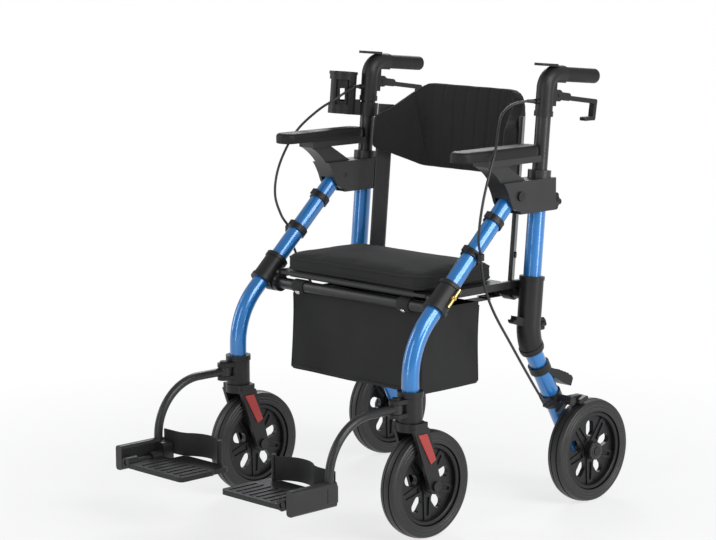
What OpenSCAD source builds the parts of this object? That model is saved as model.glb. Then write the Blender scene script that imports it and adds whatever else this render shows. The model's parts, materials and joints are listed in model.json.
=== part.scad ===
// Rollator transport chair: a walking frame on four wheels with a seat, a padded backrest,
// a storage bag and swing-away footrests. Millimetres, floor at z = 0, front towards -Y.
// Side "l" is +X, the left hand of somebody sitting in the chair, and side "r" is -X.

/* [Frame] */
// Middle plane of each side frame, from the centre
frame_x = 234; // [226:1:244]
// Distance of the rear knee behind the middle of the wheelbase
knee_y = 73; // [66:1:80]
// Height of the rear knee
knee_z = 330; // [318:1:342]
// Bend radius of the rear knee
knee_bend_r = 90; // [70:1:110]
// Backward lean of the uprights in degrees
upright_lean = 5.3; // [4:0.1:6.5]
// Height of the top end of the uprights
upright_top_z = 630; // [624:1:636]
// Outer diameter of the rear tubes
rear_tube_d = 34; // [33:0.5:35]
// Wall of the rear tubes
rear_wall = 2.2; // [1.6:0.1:2.4]
// Outer diameter of the front legs
front_tube_d = 32; // [30:0.5:33]
// Wall of the front legs
front_wall = 2; // [1.5:0.1:3]
// Bend radius of the front legs
front_bend_r = 140; // [110:1:160]
// Slope of the front legs above the level in degrees
leg_slope = 43; // [40:0.5:46]
// Fold pivot, behind the middle of the wheelbase
fold_y = 25; // [18:1:30]
// Height of the fold pivot
fold_z = 605; // [600:1:608]
// Swing of the front frame when the chair folds, in degrees
fold_swing = 22; // [18:1:24]
// Diameter of the fold pins
fold_pin_d = 10; // [8:0.5:12]
// Outer diameter of the cross rails
rail_d = 22; // [20:0.5:23]
// Wall of the cross rails
rail_wall = 2; // [1.2:0.1:3]
// Height of both cross rails
rail_z = 412; // [406:1:416]
// Front rail, ahead of the middle of the wheelbase
front_rail_y = -158; // [-164:1:-154]

/* [Wheels] */
// Outer diameter of all four wheels
wheel_d = 200; // [190:1:206]
// Width of the tyres
tyre_w = 34; // [28:1:36]
// Outer diameter of the rims
rim_d = 152; // [140:1:160]
// Spokes in a hub
spoke_count = 5; // [4:1:7]
// Rear axles, behind the middle of the wheelbase
rear_axle_y = 204; // [196:1:214]
// Middle of the rear wheels, from the centre
rear_wheel_x = 273; // [272:0.5:280]
// Swivel axes of the front casters, ahead of the middle of the wheelbase
caster_y = -240; // [-250:1:-232]
// Trail of the casters
caster_trail = 37; // [30:1:42]
// Diameter of the axles
axle_d = 10; // [8:0.5:12]
// Gap inside the caster forks
fork_gap = 42; // [40:0.5:46]
// Thickness of a fork leg
fork_leg_t = 7; // [5:0.5:9]
// Underside of the fork crown above the axle
fork_crown_h = 105; // [104:0.5:108]
// Thickness of the fork crown
fork_crown_t = 16; // [12:0.5:18]
// Diameter of the swivel stems
stem_d = 14; // [12:0.5:16]
// Diameter of the caster heads
caster_head_d = 44; // [42:0.5:48]
// Height of the caster heads
caster_head_h = 56; // [52:1:60]

/* [Armrests] */
// Width of the armrest brackets
bracket_w = 46; // [44:0.5:48]
// Height of the bracket body's underside
bracket_bottom_z = 571; // [566:1:576]
// Height of the bracket body's top
bracket_top_z = 632; // [631:1:640]
// Height of the armrest pads' underside
armrest_z = 676; // [668:1:684]
// Length of the armrest pads
armrest_len = 212; // [190:1:230]
// Thickness of the armrest pads
armrest_t = 20; // [16:1:24]

/* [Handles] */
// Height of the grips at the handle posts
grip_z = 825; // [815:1:835]
// Outer diameter of the handle tubes
handle_tube_d = 28.6; // [28:0.1:29]
// Length of the handle tubes
handle_tube_len = 330; // [290:5:360]
// Outer diameter of the handle heads
head_d = 33; // [32.5:0.5:38]
// Length of the grips
grip_len = 94; // [85:1:115]
// Diameter of the grips
grip_d = 28; // [26:0.5:32]
// Length of the brake levers from their pivots
lever_len = 114; // [100:1:125]
// Width of the brake levers
lever_w = 12; // [10:0.5:14]
// Height of the height knobs
knob_z = 588; // [584:1:594]
// Outer diameter of the cup holder
cup_d = 54; // [48:1:60]
// Height of the cup holder
cup_h = 84; // [70:1:90]

/* [Seat and bag] */
// Width of the seat pad
seat_w = 388; // [370:1:390]
// Front edge of the seat pad
seat_front_y = -172; // [-176:1:-168]
// Rear edge of the seat pad
seat_rear_y = 45; // [35:1:46]
// Thickness of the seat pad at its edge
seat_edge_t = 30; // [24:1:34]
// Crown of the seat pad above its edge
seat_crown = 11; // [6:1:14]
// Width of the seat's side bars
seat_bar_w = 9; // [7:0.5:10]
// Height of the seat's side bars
seat_bar_h = 14; // [12:0.5:18]
// Thickness of the seat board
seat_board_t = 6; // [4:0.5:7]
// Width of the bag
bag_w = 356; // [320:1:366]
// Depth of the bag
bag_depth = 156; // [130:1:164]
// Height of the bag's underside
bag_bottom_z = 246; // [236:1:290]
// Thickness of the bag's padded walls
bag_wall = 3; // [2:0.5:5]

/* [Backrest] */
// Half width of the backrest's flat middle
back_flat_x = 105; // [90:1:110]
// Middle of the backrest behind the uprights
back_depth = 50; // [44:1:56]
// Bend radius between the middle and the wings
back_bend_r = 45; // [36:1:54]
// Forward turn of the wings in degrees
wing_turn = 58; // [54:0.5:62]
// Length of the wings
wing_len = 76; // [68:1:84]
// Height of the backrest pad's middle
back_h = 174; // [150:1:184]
// Height of the wing tips
wing_h = 80; // [60:1:100]
// Thickness of the backrest pad
back_t = 26; // [20:0.5:28]
// Middle of the backrest pad above the rear rail
back_up = 297; // [290:1:306]
// Width of the backrest posts
post_w = 32; // [26:0.5:34]
// Thickness of the backrest posts
post_t = 8; // [6:0.5:9]

/* [Footrests] */
// Outer diameter of the footrest hangers
hanger_d = 16; // [14:0.5:18]
// Hanger pivots ahead of the caster axes
hanger_pivot = 36; // [34:0.5:40]
// Reach of the hangers ahead of their pivots
hanger_reach = 164; // [155:1:175]
// Bend radius of the hangers
hanger_bend_r = 100; // [80:1:110]
// Length of the foot plates along the hinge
foot_len = 82; // [70:1:95]
// Width of the foot plates
foot_w = 160; // [140:1:165]
// Thickness of the foot plates
foot_t = 9; // [7:0.5:11]
// Height of the foot plates' hinges
foot_hinge_z = 118; // [112:1:126]
// Height of the heel straps
strap_h = 44; // [36:1:60]

/* [Hidden] */
// Gap of a fixed fit between two pieces, on the radius
fit = 0.1;
// Running gap of a pin or shaft in its bore, on the radius
run_fit = 0.06;
// Gap between pieces that move past each other
clear = 0.4;
// Smallest gap beside a swinging piece
swing_clear = 2;

$fn = 64;

axle_z = wheel_d / 2;
fork_half = fork_gap / 2 + fork_leg_t;
crown_z = axle_z + fork_crown_h;
head_z = crown_z + fork_crown_t + clear;
leg_end_z = head_z + 22;
rail_r = rail_d / 2;

function unit(v) = v / norm(v);
function upright_y(z) = knee_y + (z - knee_z) * tan(upright_lean);
function leg_point(t) = [fold_y, fold_z] - t * [cos(leg_slope), sin(leg_slope)];

knee = [knee_y, knee_z];
rear_axle = [rear_axle_y, axle_z];
rear_leg_run = unit(rear_axle - knee);
function rear_leg_point(t) = rear_axle - t * rear_leg_run;

// Side views of the tubes' middle lines, as [y, z] points
axle_tail = 22;
rear_path = [rear_axle + axle_tail * rear_leg_run, knee, [upright_y(upright_top_z), upright_top_z]];
leg_tail = 12;
leg_corner = [caster_y, fold_z - (fold_y - caster_y) * tan(leg_slope)];
front_path = [leg_point(-leg_tail), leg_corner, [caster_y, leg_end_z]];

rear_rail_y = upright_y(rail_z);
rail_end_x = frame_x - rear_tube_d / 2 - fit;

frame_blue = [0.13, 0.47, 0.85];
black_plastic = [0.09, 0.09, 0.1];
black_metal = [0.14, 0.14, 0.15];
black_cloth = [0.12, 0.12, 0.13];
tyre_black = [0.07, 0.07, 0.07];
hub_grey = [0.2, 0.2, 0.21];
insert_red = [0.75, 0.09, 0.08];
steel = [0.7, 0.7, 0.72];
brass = [0.8, 0.62, 0.28];

// Front and rear ends of the whole chair, which set the origin at the middle of its length
pivot_y = caster_y - hanger_pivot;
hanger_y = pivot_y - hanger_reach;
foot_block_y = hanger_y - 12;
foot_front_y = foot_block_y - clear - foot_len;
rear_end_y = rear_axle_y + wheel_d / 2;
mid_y = (foot_front_y + rear_end_y) / 2;

// Placing helpers

// Puts the finished piece in the part's frame
module placed() translate([0, -mid_y, 0]) children();

// A piece modelled on side l, kept there or mirrored to side r
module on_side(side) mirror([side < 0 ? 1 : 0, 0, 0]) children();

module both_sides() {
    for (side = [1, -1]) on_side(side) children();
}

// Lays a side view drawn as [y, z] upright, with its depth along X
module side_view(x = frame_x) translate([x, 0, 0]) rotate([90, 0, 90]) children();

// Frame on an upright at height z: local z runs up the upright, local y to the rear
module on_upright(z) translate([frame_x, upright_y(z), z]) rotate([-upright_lean, 0, 0]) children();

// Frame on a front leg, t below the fold pivot: local z runs up the leg
module on_leg(t) translate([frame_x, leg_point(t).x, leg_point(t).y])
    rotate([leg_slope - 90, 0, 0]) children();

// Frame on a rear leg, t above the axle: local z runs up the leg
module on_rear_leg(t) {
    p = rear_leg_point(t);
    translate([frame_x, p.x, p.y]) rotate([atan2(rear_leg_run.x, -rear_leg_run.y), 0, 0]) children();
}

// A round bar along X in the side view at p
module cross_bar(p, x0, x1, d) translate([x0, p.x, p.y]) rotate([0, 90, 0]) cylinder(h = x1 - x0, d = d);

// A round bar along +Y from p
module long_bar(p, length, d) translate(p) rotate([-90, 0, 0]) cylinder(h = length, d = d);

// Bent tubes

function turn_angle(a, b, c) = let (u = unit(b - a), v = unit(c - b)) atan2(u.x * v.y - u.y * v.x, u * v);

function tangent_cut(pts, i, r) = i == 0 || i == len(pts) - 1 ? 0
    : r * tan(abs(turn_angle(pts[i - 1], pts[i], pts[i + 1])) / 2);

function lengthened(pts, e) = let (n = len(pts) - 1)
    [for (i = [0 : n]) i == 0 ? pts[0] - e * unit(pts[1] - pts[0])
        : i == n ? pts[n] + e * unit(pts[n] - pts[n - 1]) : pts[i]];

module rod(a, b, d) {
    translate(a) rotate(atan2(b.y - a.y, b.x - a.x)) rotate([0, 90, 0]) cylinder(h = norm(b - a), d = d);
}

// How far a straight stretch runs into its bend, and how much the bend swells over it
bend_lap = 0.8;
bend_swell = 0.04;
// Swell of the rear knees, which their sleeves cover
knee_swell = 0.25;

// A round rod along the points, with the same bend radius at each inner point
module bent_rod(pts, bend_r, d, swell = bend_swell) {
    last = len(pts) - 1;
    for (i = [0 : last - 1]) {
        run = unit(pts[i + 1] - pts[i]);
        from_bend = tangent_cut(pts, i, bend_r) - (i > 0 ? bend_lap : 0);
        to_bend = tangent_cut(pts, i + 1, bend_r) - (i < last - 1 ? bend_lap : 0);
        rod(pts[i] + run * from_bend, pts[i + 1] - run * to_bend, d);
    }
    for (i = [1 : last - 1]) {
        run = unit(pts[i] - pts[i - 1]);
        bend = turn_angle(pts[i - 1], pts[i], pts[i + 1]);
        start = pts[i] - run * tangent_cut(pts, i, bend_r);
        centre = start + sign(bend) * bend_r * [-run.y, run.x];
        translate(centre) rotate(atan2(start.y - centre.y, start.x - centre.x) + min(bend, 0))
            rotate_extrude(angle = abs(bend)) translate([bend_r, 0]) circle(d = d + 2 * swell);
    }
}

module bent_tube(pts, bend_r, d, wall, swell = bend_swell) difference() {
    bent_rod(pts, bend_r, d, swell);
    bent_rod(lengthened(pts, 1), bend_r, d - 2 * wall, swell);
}

// Flat outlines

module rounded_rect(w, h, r) {
    square([w - 2 * r, h], center = true);
    square([w, h - 2 * r], center = true);
    for (sx = [-1, 1], sy = [-1, 1]) translate([sx * (w / 2 - r), sy * (h / 2 - r)]) circle(r);
}

// A bar with round ends, a hair wider than the bar, between two points of a flat view
stroke_bead = 0.12;

module stroke(a, b, w) {
    translate(a) rotate(atan2(b.y - a.y, b.x - a.x)) translate([0, -w / 2]) square([norm(b - a), w]);
    for (p = [a, b]) translate(p) circle(d = w + stroke_bead);
}

// Lofted skin through closed rings of points, from first to last
module loft(rings) {
    n = len(rings[0]);
    m = len(rings);
    sides = [for (k = [0 : m - 2], i = [0 : n - 1]) let (j = (i + 1) % n)
        each [[k * n + i, k * n + j, (k + 1) * n + j], [k * n + i, (k + 1) * n + j, (k + 1) * n + i]]];
    first_cap = [for (i = [1 : n - 2]) [0, i + 1, i]];
    last_cap = [for (i = [1 : n - 2]) [(m - 1) * n, (m - 1) * n + i, (m - 1) * n + i + 1]];
    faces = concat(sides, first_cap, last_cap);
    polyhedron([for (ring = rings) each ring], [for (f = faces) [f[0], f[2], f[1]]]);
}

// Rear frame

// Upright and rear leg, bent from one tube
module rear_tube(side) color(frame_blue) on_side(side) difference() {
    side_view() bent_tube(rear_path, knee_bend_r, rear_tube_d, rear_wall, knee_swell);
    cross_bar(rear_axle, frame_x - rear_tube_d, frame_x + rear_tube_d, axle_d + 2 * fit);
    on_upright(knob_z) long_bar([0, 0, 0], rear_tube_d, knob_screw_d + 8 * fit);
}

sleeve_wall = 5.5;
sleeve_d = rear_tube_d + 2 * (sleeve_wall + fit);
sleeve_low = 24;
sleeve_high = 118;
sleeve_top = knee + sleeve_high * [sin(upright_lean), cos(upright_lean)];
sleeve_rib_w = 7;
sleeve_rib_d = sleeve_d + 3;
rest_hook = knee + [-40, 40];
rest_hook_d = 15;
knee_bolt = knee + [0, 24];

// Casting over the knee, with the rail socket, a rest hook ahead and a bolt knob behind
module knee_sleeve() difference() {
    union() {
        side_view() {
            bent_rod([knee + sleeve_low * rear_leg_run, knee, sleeve_top], knee_bend_r, sleeve_d, knee_swell);
            sleeve_ends = [
                [sleeve_top, -unit(sleeve_top - knee)],
                [knee + sleeve_low * rear_leg_run, -rear_leg_run],
            ];
            for (end = sleeve_ends)
                rod(end[0], end[0] + sleeve_rib_w * end[1], sleeve_rib_d);
            linear_extrude(rest_hook_d, center = true) {
                stroke(rest_hook, knee + [0, 28], rest_hook_d);
                stroke(knee_bolt, knee_bolt + [34, 2], rest_hook_d + 3);
            }
        }
        translate([frame_x, knee_bolt.x + 24, knee_bolt.y]) rotate([-90, 0, 0]) for (a = [0 : 60 : 300])
            rotate(a) translate([9, 0]) cylinder(h = 14, d = 9);
    }
    side_view() bent_rod(lengthened(rear_path, 1), knee_bend_r, rear_tube_d + 2 * fit, knee_swell);
    side_view() translate([rest_hook.x - 4, rest_hook.y + 5, -rest_hook_d])
        cylinder(h = 2 * rest_hook_d, d = 10);
    cross_bar([rear_rail_y, rail_z], 0, frame_x, rail_d + 2 * fit);
}

module rear_sleeves() color(black_plastic) both_sides() knee_sleeve();

module rear_rail() color(black_metal) difference() {
    cross_bar([rear_rail_y, rail_z], -rail_end_x, rail_end_x, rail_d);
    cross_bar([rear_rail_y, rail_z], -frame_x, frame_x, rail_d - 2 * rail_wall);
}

slot_half = front_tube_d / 2 + 0.7;
cheek_r = 28;
leg_end_r = norm([leg_tail, front_tube_d / 2]) + 1.5;
arm_front_y = -58;
beam_t = 12;
arm_w = 30;
beam_rear = upright_y(bracket_top_z) - handle_tube_d / 2 - swing_clear;
window_low = bracket_top_z;
window_high = armrest_z - beam_t;
window_front = fold_y + 21;
body_rear = upright_y((bracket_bottom_z + bracket_top_z) / 2) + rear_tube_d / 2 + 8;
bush_h = 16;

// Point at a distance and an angle from the fold pivot
function from_fold(r, angle) = [fold_y, fold_z] + r * [cos(angle), sin(angle)];

// Side view of the bracket's body, pivot cheeks and forward arm
module bracket_outline() {
    arm_foot = from_fold(cheek_r, 200);
    arm_head = [arm_front_y, window_high];
    hollow = (arm_foot + arm_head) / 2 + 110 * unit([arm_foot.y - arm_head.y, arm_head.x - arm_foot.x]);
    translate([fold_y, bracket_bottom_z]) square([body_rear - fold_y, bracket_top_z - bracket_bottom_z]);
    translate([fold_y, fold_z]) circle(cheek_r);
    difference() {
        polygon([arm_foot, arm_head, arm_head + [52, 0], [window_front, window_low], [window_front, fold_z]]);
        translate(hollow) circle(norm(hollow - arm_head));
    }
}

// Side view of the room that the front leg swings in
module leg_swing_room() {
    far = 90;
    down = 180 + leg_slope;
    translate([fold_y, fold_z]) circle(leg_end_r);
    front_edge = from_fold(slot_half, down - 90);
    rear_edge = from_fold(slot_half, down + fold_swing + 90);
    polygon([
        front_edge, front_edge + far * [cos(down), sin(down)],
        rear_edge + far * [cos(down + fold_swing), sin(down + fold_swing)], rear_edge,
    ]);
}

module armrest_bracket(side) color(black_plastic) on_side(side) difference() {
    union() {
        side_view() {
            linear_extrude(arm_w, center = true) bracket_outline();
            linear_extrude(bracket_w, center = true) intersection() {
                bracket_outline();
                translate([fold_y - 100, bracket_bottom_z - 50])
                    square([250, bracket_top_z - bracket_bottom_z + 50]);
            }
            linear_extrude(bracket_w - 6, center = true) translate([arm_front_y, window_high])
                square([beam_rear - arm_front_y, beam_t]);
        }
        on_upright(upright_top_z) cylinder(h = bush_h, d = rear_tube_d + 10);
        on_upright(knob_z) long_bar([0, 0, 0], knob_face, knob_screw_d + 12);
    }
    side_view() linear_extrude(2 * slot_half, center = true) leg_swing_room();
    cross_bar([fold_y, fold_z], frame_x - bracket_w, frame_x + bracket_w, fold_pin_d + 2 * fit);
    on_upright(upright_top_z) {
        translate([0, 0, -120]) cylinder(h = 120 + fit, d = rear_tube_d + 2 * fit);
        cylinder(h = 2 * bush_h, d = handle_tube_d + 2 * clear);
    }
    on_upright(knob_z) long_bar([0, 0, 0], knob_face + 1, knob_screw_d + 2 * run_fit);
}

pad_side_r = 8;
armrest_front_y = beam_rear - armrest_len;

module armrest_pad(side) color(black_plastic) on_side(side) translate([frame_x, armrest_front_y, armrest_z])
    intersection() {
        translate([0, armrest_len / 2]) linear_extrude(armrest_t)
            rounded_rect(bracket_w, armrest_len, bracket_w / 2 - 3);
        rotate([-90, 0, 0]) linear_extrude(armrest_len) {
            translate([0, -armrest_t / 2]) rounded_rect(bracket_w, armrest_t, pad_side_r);
            translate([-bracket_w / 2 + 3, -armrest_t / 2]) square([bracket_w - 6, armrest_t / 2]);
        }
    }

// Pins of the fold pivots, flush in the brackets
module fold_pins() color(steel) both_sides() {
    cross_bar([fold_y, fold_z], frame_x - bracket_w / 2 + 0.5, frame_x + bracket_w / 2 + 3, fold_pin_d);
    cross_bar([fold_y, fold_z], frame_x + bracket_w / 2, frame_x + bracket_w / 2 + 4, fold_pin_d + 8);
}

pedal_up = 196;
pedal_len = 84;
pedal_w = 34;
pedal_t = 15;
ring_wall = 4;

// Tipping pedals, clamped to the rear legs and reaching back
module tip_pedals() color(black_plastic) both_sides() difference() {
    union() {
        on_rear_leg(pedal_up) translate([0, 0, -8]) cylinder(h = 16, d = rear_tube_d + 2 * ring_wall);
        translate([frame_x, rear_leg_point(pedal_up).x, rear_leg_point(pedal_up).y]) rotate([-22, 0, 0]) {
            translate([-pedal_w / 2, 0, 0]) rotate([90, 0, 90]) linear_extrude(pedal_w) polygon([
                [0, 4.5], [pedal_len - 6, 4.5], [pedal_len, 0],
                [pedal_len, -pedal_t], [pedal_len - 20, -pedal_t], [0, -6],
            ]);
            for (i = [0 : 3]) translate([-pedal_w / 2 + 4, pedal_len - 14 - 9 * i, 4])
                cube([pedal_w - 8, 3, 3]);
        }
    }
    on_rear_leg(pedal_up) translate([0, 0, -60]) cylinder(h = 120, d = rear_tube_d + 2 * fit);
}

hub_half = fork_gap / 2 - clear;
bolt_head_d = axle_d + 8;
bolt_head_t = 5;

module rear_axles() color(steel) both_sides() {
    inner = frame_x - rear_tube_d / 2;
    outer = rear_wheel_x + hub_half + clear;
    cross_bar(rear_axle, inner - bolt_head_t, outer + bolt_head_t, axle_d);
    difference() {
        union() {
            cross_bar(rear_axle, inner - bolt_head_t, frame_x, bolt_head_d);
            cross_bar(rear_axle, frame_x, rear_wheel_x - hub_half - clear, axle_d + 7);
        }
        side_view() bent_rod(lengthened(rear_path, 20), knee_bend_r, rear_tube_d);
    }
    cross_bar(rear_axle, outer, outer + bolt_head_t, bolt_head_d);
}

// Brakes at the rear wheels
brake_up = axle_z + 22;
brake_pin_d = 8;
brake_barrel_d = 17;
brake_x0 = rear_wheel_x - tyre_w / 2 + 3;
brake_x1 = rear_wheel_x + tyre_w / 2 - 3;
brake_pivot = rear_leg_point(brake_up);
shoe_gap = 3;
brake_arm_w = 14;
shoe_angle = 101;
function tyre_point(r, angle) = rear_axle + r * [cos(angle), sin(angle)];

module brake_mounts() color(black_metal) both_sides() {
    difference() {
        on_rear_leg(brake_up) translate([0, 0, -13]) cylinder(h = 26, d = rear_tube_d + 2 * ring_wall - 1);
        on_rear_leg(brake_up) translate([0, 0, -14]) cylinder(h = 28, d = rear_tube_d + 2 * fit);
    }
    difference() {
        union() {
            cross_bar(brake_pivot, frame_x, brake_x1, brake_pin_d);
            cross_bar(brake_pivot, frame_x, brake_x0 - clear, brake_pin_d + 6);
            cable_end_stop();
        }
        on_rear_leg(brake_up) translate([0, 0, -40]) cylinder(h = 80, d = rear_tube_d + 2 * ring_wall - 1);
    }
}

// Arm of the stop that the brake cable ends in
module cable_end_stop() {
    end = cable_route[len(cable_route) - 1];
    translate([end.x - 3.5, 0, 0]) side_view(0) linear_extrude(7)
        stroke([end.y + 3, end.z - 4.5], brake_pivot, 9);
}

module brake_arm(side) color(black_plastic) on_side(side) {
    foot = tyre_point(axle_z + shoe_gap + 5, shoe_angle);
    heel = tyre_point(axle_z + shoe_gap + 5, shoe_angle + 9);
    difference() {
        union() {
            cross_bar(brake_pivot, brake_x0, brake_x1, brake_barrel_d);
            translate([brake_x0 + 3, 0, 0]) side_view(0) linear_extrude(brake_arm_w) difference() {
                stroke(brake_pivot + [0, 1], foot, 10);
                translate(rear_axle) circle(axle_z + shoe_gap, $fn = 128);
            }
            translate([brake_x0, 0, 0]) side_view(0) linear_extrude(brake_x1 - brake_x0) difference() {
                stroke(heel, foot, 9);
                translate(rear_axle) circle(axle_z + shoe_gap, $fn = 128);
            }
            translate([brake_x0 + 8, 0, 0]) side_view(0) linear_extrude(9)
                stroke(brake_pivot, brake_pivot + [-24, -18], 8);
        }
        cross_bar(brake_pivot, brake_x0 - 1, brake_x1 + 1, brake_pin_d + 2 * run_fit);
    }
}

// Backrest
lean_frame_y = rear_rail_y;
wing_dir = [cos(wing_turn), -sin(wing_turn)];
wing_out = [sin(wing_turn), cos(wing_turn)];
wing_root = [back_flat_x + back_bend_r * sin(wing_turn), back_depth - back_bend_r * (1 - cos(wing_turn))];
post_along = 45;
post_at = wing_root + post_along * wing_dir + (back_t / 2 + clear + post_t / 2) * wing_out;
post_top = back_up + wing_h / 2 - 6;
wing_drop = 20;

// Frame of the backrest: origin on the rear rail, leaning with the uprights
module on_backrest() translate([0, lean_frame_y, rail_z]) rotate([-upright_lean, 0, 0]) children();

module backrest_posts() color(black_metal) both_sides() {
    ring_w = 22;
    difference() {
        union() {
            cross_bar([rear_rail_y, rail_z], post_at.x - ring_w / 2, post_at.x + ring_w / 2,
                rail_d + 2 * ring_wall);
            on_backrest() translate([post_at.x, post_at.y, 0]) rotate(-wing_turn) {
                linear_extrude(post_top) rounded_rect(post_w, post_t, post_t / 2 - 0.5);
                translate([0, 0, 70]) rotate([-90, 0, 0]) cylinder(h = post_t / 2 + 3, d = 12);
            }
        }
        cross_bar([rear_rail_y, rail_z], 0, frame_x, rail_d + 2 * fit);
    }
}

// Plan of the pad's middle line at a distance from the centre along it: [x, y, turn]
bend_len = back_bend_r * wing_turn * PI / 180;
half_len = back_flat_x + bend_len + wing_len;
function plan_at(s) = let (a = abs(s), w = sign(s))
    a <= back_flat_x ? [s, back_depth, 0]
    : a <= back_flat_x + bend_len ? let (turn = (a - back_flat_x) / back_bend_r * 180 / PI)
        [w * (back_flat_x + back_bend_r * sin(turn)), back_depth - back_bend_r * (1 - cos(turn)), w * turn]
    : let (t = a - back_flat_x - bend_len)
        [w * (wing_root.x + t * wing_dir.x), wing_root.y + t * wing_dir.y, w * wing_turn];

function smooth(t) = let (c = min(max(t, 0), 1)) c * c * (3 - 2 * c);
function bulge(angle, power) = sign(angle) * pow(abs(angle), power);

// One ring of the pad: a soft flat oval across the middle line, thinner towards the tips
function back_ring(s) = let (
    at = plan_at(s), taper = smooth((abs(s) - 0.45 * half_len) / (0.55 * half_len)),
    end = pow(max(0, 1 - pow(abs(s) / half_len, 30)), 0.5),
    half_h = (back_h * (1 - taper) + wing_h * taper) / 2 * (0.75 + 0.25 * end),
    half_t = back_t / 2 * (0.35 + 0.65 * end), mid = back_up - wing_drop * taper)
    [for (i = [0 : 19]) let (c = bulge(cos(18 * i), 0.75), v = bulge(sin(18 * i), 0.4))
        [at.x + c * half_t * sin(at[2]), at.y + c * half_t * cos(at[2]), mid + v * half_h]];

back_steps = 30;

// Places of the rings along the pad, closer together towards the tips
function back_station(i) = sign(i) * half_len * (1 - pow(1 - abs(i) / back_steps, 1.3));

module backrest_pad() color(black_cloth) on_backrest()
    loft([for (i = [-back_steps : back_steps]) back_ring(back_station(i))]);

// Brake cables
cable_d = 5;
exit_back = 26;
exit_drop = 53;
clip_at = [259, -84, 504];
cable_route = [
    [234, 87, 775], [230, 72, 776], [220, 44, 771], [222, 12, 756], [240, -18, 735], [263, -50, 700],
    [273, -76, 660], [277, -96, 615], [275, -104, 570], [266, -97, 532], [260, -86, 512], clip_at,
    [258, -82, 494], [255, -74, 466], [251, -58, 430], [248, -32, 388], [247, 10, 331], [248, 56, 267],
    [251, 90, 219], [254, 100, 204],
];

// Smooth curve through the route's points
function curve(p, i, t) = let (
    n = len(p) - 1,
    a = p[max(i - 1, 0)],
    b = p[i],
    c = p[i + 1],
    d = p[min(i + 2, n)])
    0.5 * (2 * b + (c - a) * t + (2 * a - 5 * b + 4 * c - d) * t * t + (3 * b - a - 3 * c + d) * t * t * t);

cable_steps = 4;
cable_line = [
    for (i = [0 : len(cable_route) - 2], k = [0 : cable_steps - 1]) curve(cable_route, i, k / cable_steps),
    cable_route[len(cable_route) - 1]];

function cable_ring(i) = let (
    n = len(cable_line) - 1, run = unit(cable_line[min(i + 1, n)] - cable_line[max(i - 1, 0)]),
    flat = unit(cross(run, [1, 0, 0])), side = cross(run, flat))
    [for (k = [0 : 7]) cable_line[i] + cable_d / 2 * (cos(45 * k) * flat + sin(45 * k) * side)];

module brake_cable(side) color(black_plastic) on_side(side)
    loft([for (i = [0 : len(cable_line) - 1]) cable_ring(i)]);

// Bag
bag_top_z = rail_z - rail_r + 2;
bag_front_y = front_rail_y + 7;
bag_rear_y = bag_front_y + bag_depth;
bag_strap_x = 120;
bag_strap_w = 30;
bag_strap_t = 2;
bag_loop_d = rail_d + 2 * (fit + bag_strap_t);

module bag() color(black_cloth) {
    depth_mid = (bag_front_y + bag_rear_y) / 2;
    difference() {
        translate([0, depth_mid, bag_bottom_z]) linear_extrude(bag_top_z - bag_bottom_z)
            rounded_rect(bag_w, bag_depth, 14);
        translate([0, depth_mid, bag_bottom_z + bag_wall]) linear_extrude(bag_top_z)
            rounded_rect(bag_w - 2 * bag_wall, bag_depth - 2 * bag_wall, 14 - bag_wall);
    }
    for (s = [-1, 1]) translate([s * bag_strap_x, 0, 0]) difference() {
        union() {
            translate([-bag_strap_w / 2, bag_rear_y - 1, rail_z - bag_loop_d / 2])
                cube([bag_strap_w, rear_rail_y - bag_rear_y + 1, bag_strap_t]);
            for (y = [front_rail_y, rear_rail_y])
                cross_bar([y, rail_z], -bag_strap_w / 2, bag_strap_w / 2, bag_loop_d);
        }
        for (y = [front_rail_y, rear_rail_y])
            cross_bar([y, rail_z], -bag_strap_w, bag_strap_w, rail_d + 2 * fit);
    }
}

// Front frame

module front_leg(side) color(frame_blue) on_side(side) difference() {
    side_view() bent_tube(front_path, front_bend_r, front_tube_d, front_wall);
    cross_bar([fold_y, fold_z], frame_x - front_tube_d, frame_x + front_tube_d, fold_pin_d + 2 * run_fit);
}

upper_clip = 66;
lower_clip = 148;
clip_w = 13;
guide_d = 13;

// Clip rings on the front legs; the lower ones guide the brake cables
module leg_clips() color(black_plastic) both_sides() difference() {
    union() {
        for (t = [upper_clip, lower_clip]) on_leg(t) translate([0, 0, -clip_w / 2]) {
            cylinder(h = clip_w, d = front_tube_d + 2 * 3);
            translate([-6, -front_tube_d / 2 - 7, 0]) cube([12, 8, clip_w]);
        }
        translate([clip_at.x, clip_at.y, clip_at.z - 6]) cylinder(h = 12, d = guide_d);
        translate([frame_x + front_tube_d / 2, clip_at.y - 4, clip_at.z - 5])
            cube([clip_at.x - frame_x - front_tube_d / 2, 8, 10]);
    }
    on_leg(lower_clip) translate([0, 0, -60]) cylinder(h = 200, d = front_tube_d + 2 * fit);
    translate([clip_at.x, clip_at.y, clip_at.z - 10]) cylinder(h = 20, d = cable_d + 9 * clear);
}

joint_at = (fold_y - front_rail_y) / cos(leg_slope);
joint_half = 30;
joint_d = front_tube_d + 10;
front_lug_end = frame_x - joint_d / 2 - 1;

// Clamps on the front legs that hold the front rail
module seat_joints() color(black_plastic) both_sides() difference() {
    union() {
        on_leg(joint_at) {
            translate([0, 0, -joint_half]) cylinder(h = 2 * joint_half, d = joint_d);
            for (z = [-joint_half, joint_half - 8]) translate([0, 0, z]) cylinder(h = 8, d = joint_d + 4);
        }
        cross_bar([front_rail_y, rail_z], front_lug_end, frame_x, rail_d + 12);
    }
    side_view() bent_rod(front_path, front_bend_r, front_tube_d + 2 * fit);
    cross_bar([front_rail_y, rail_z], 0, front_rail_end + fit, rail_d + 2 * fit);
}

front_rail_end = frame_x - front_tube_d / 2 - 1;

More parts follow.
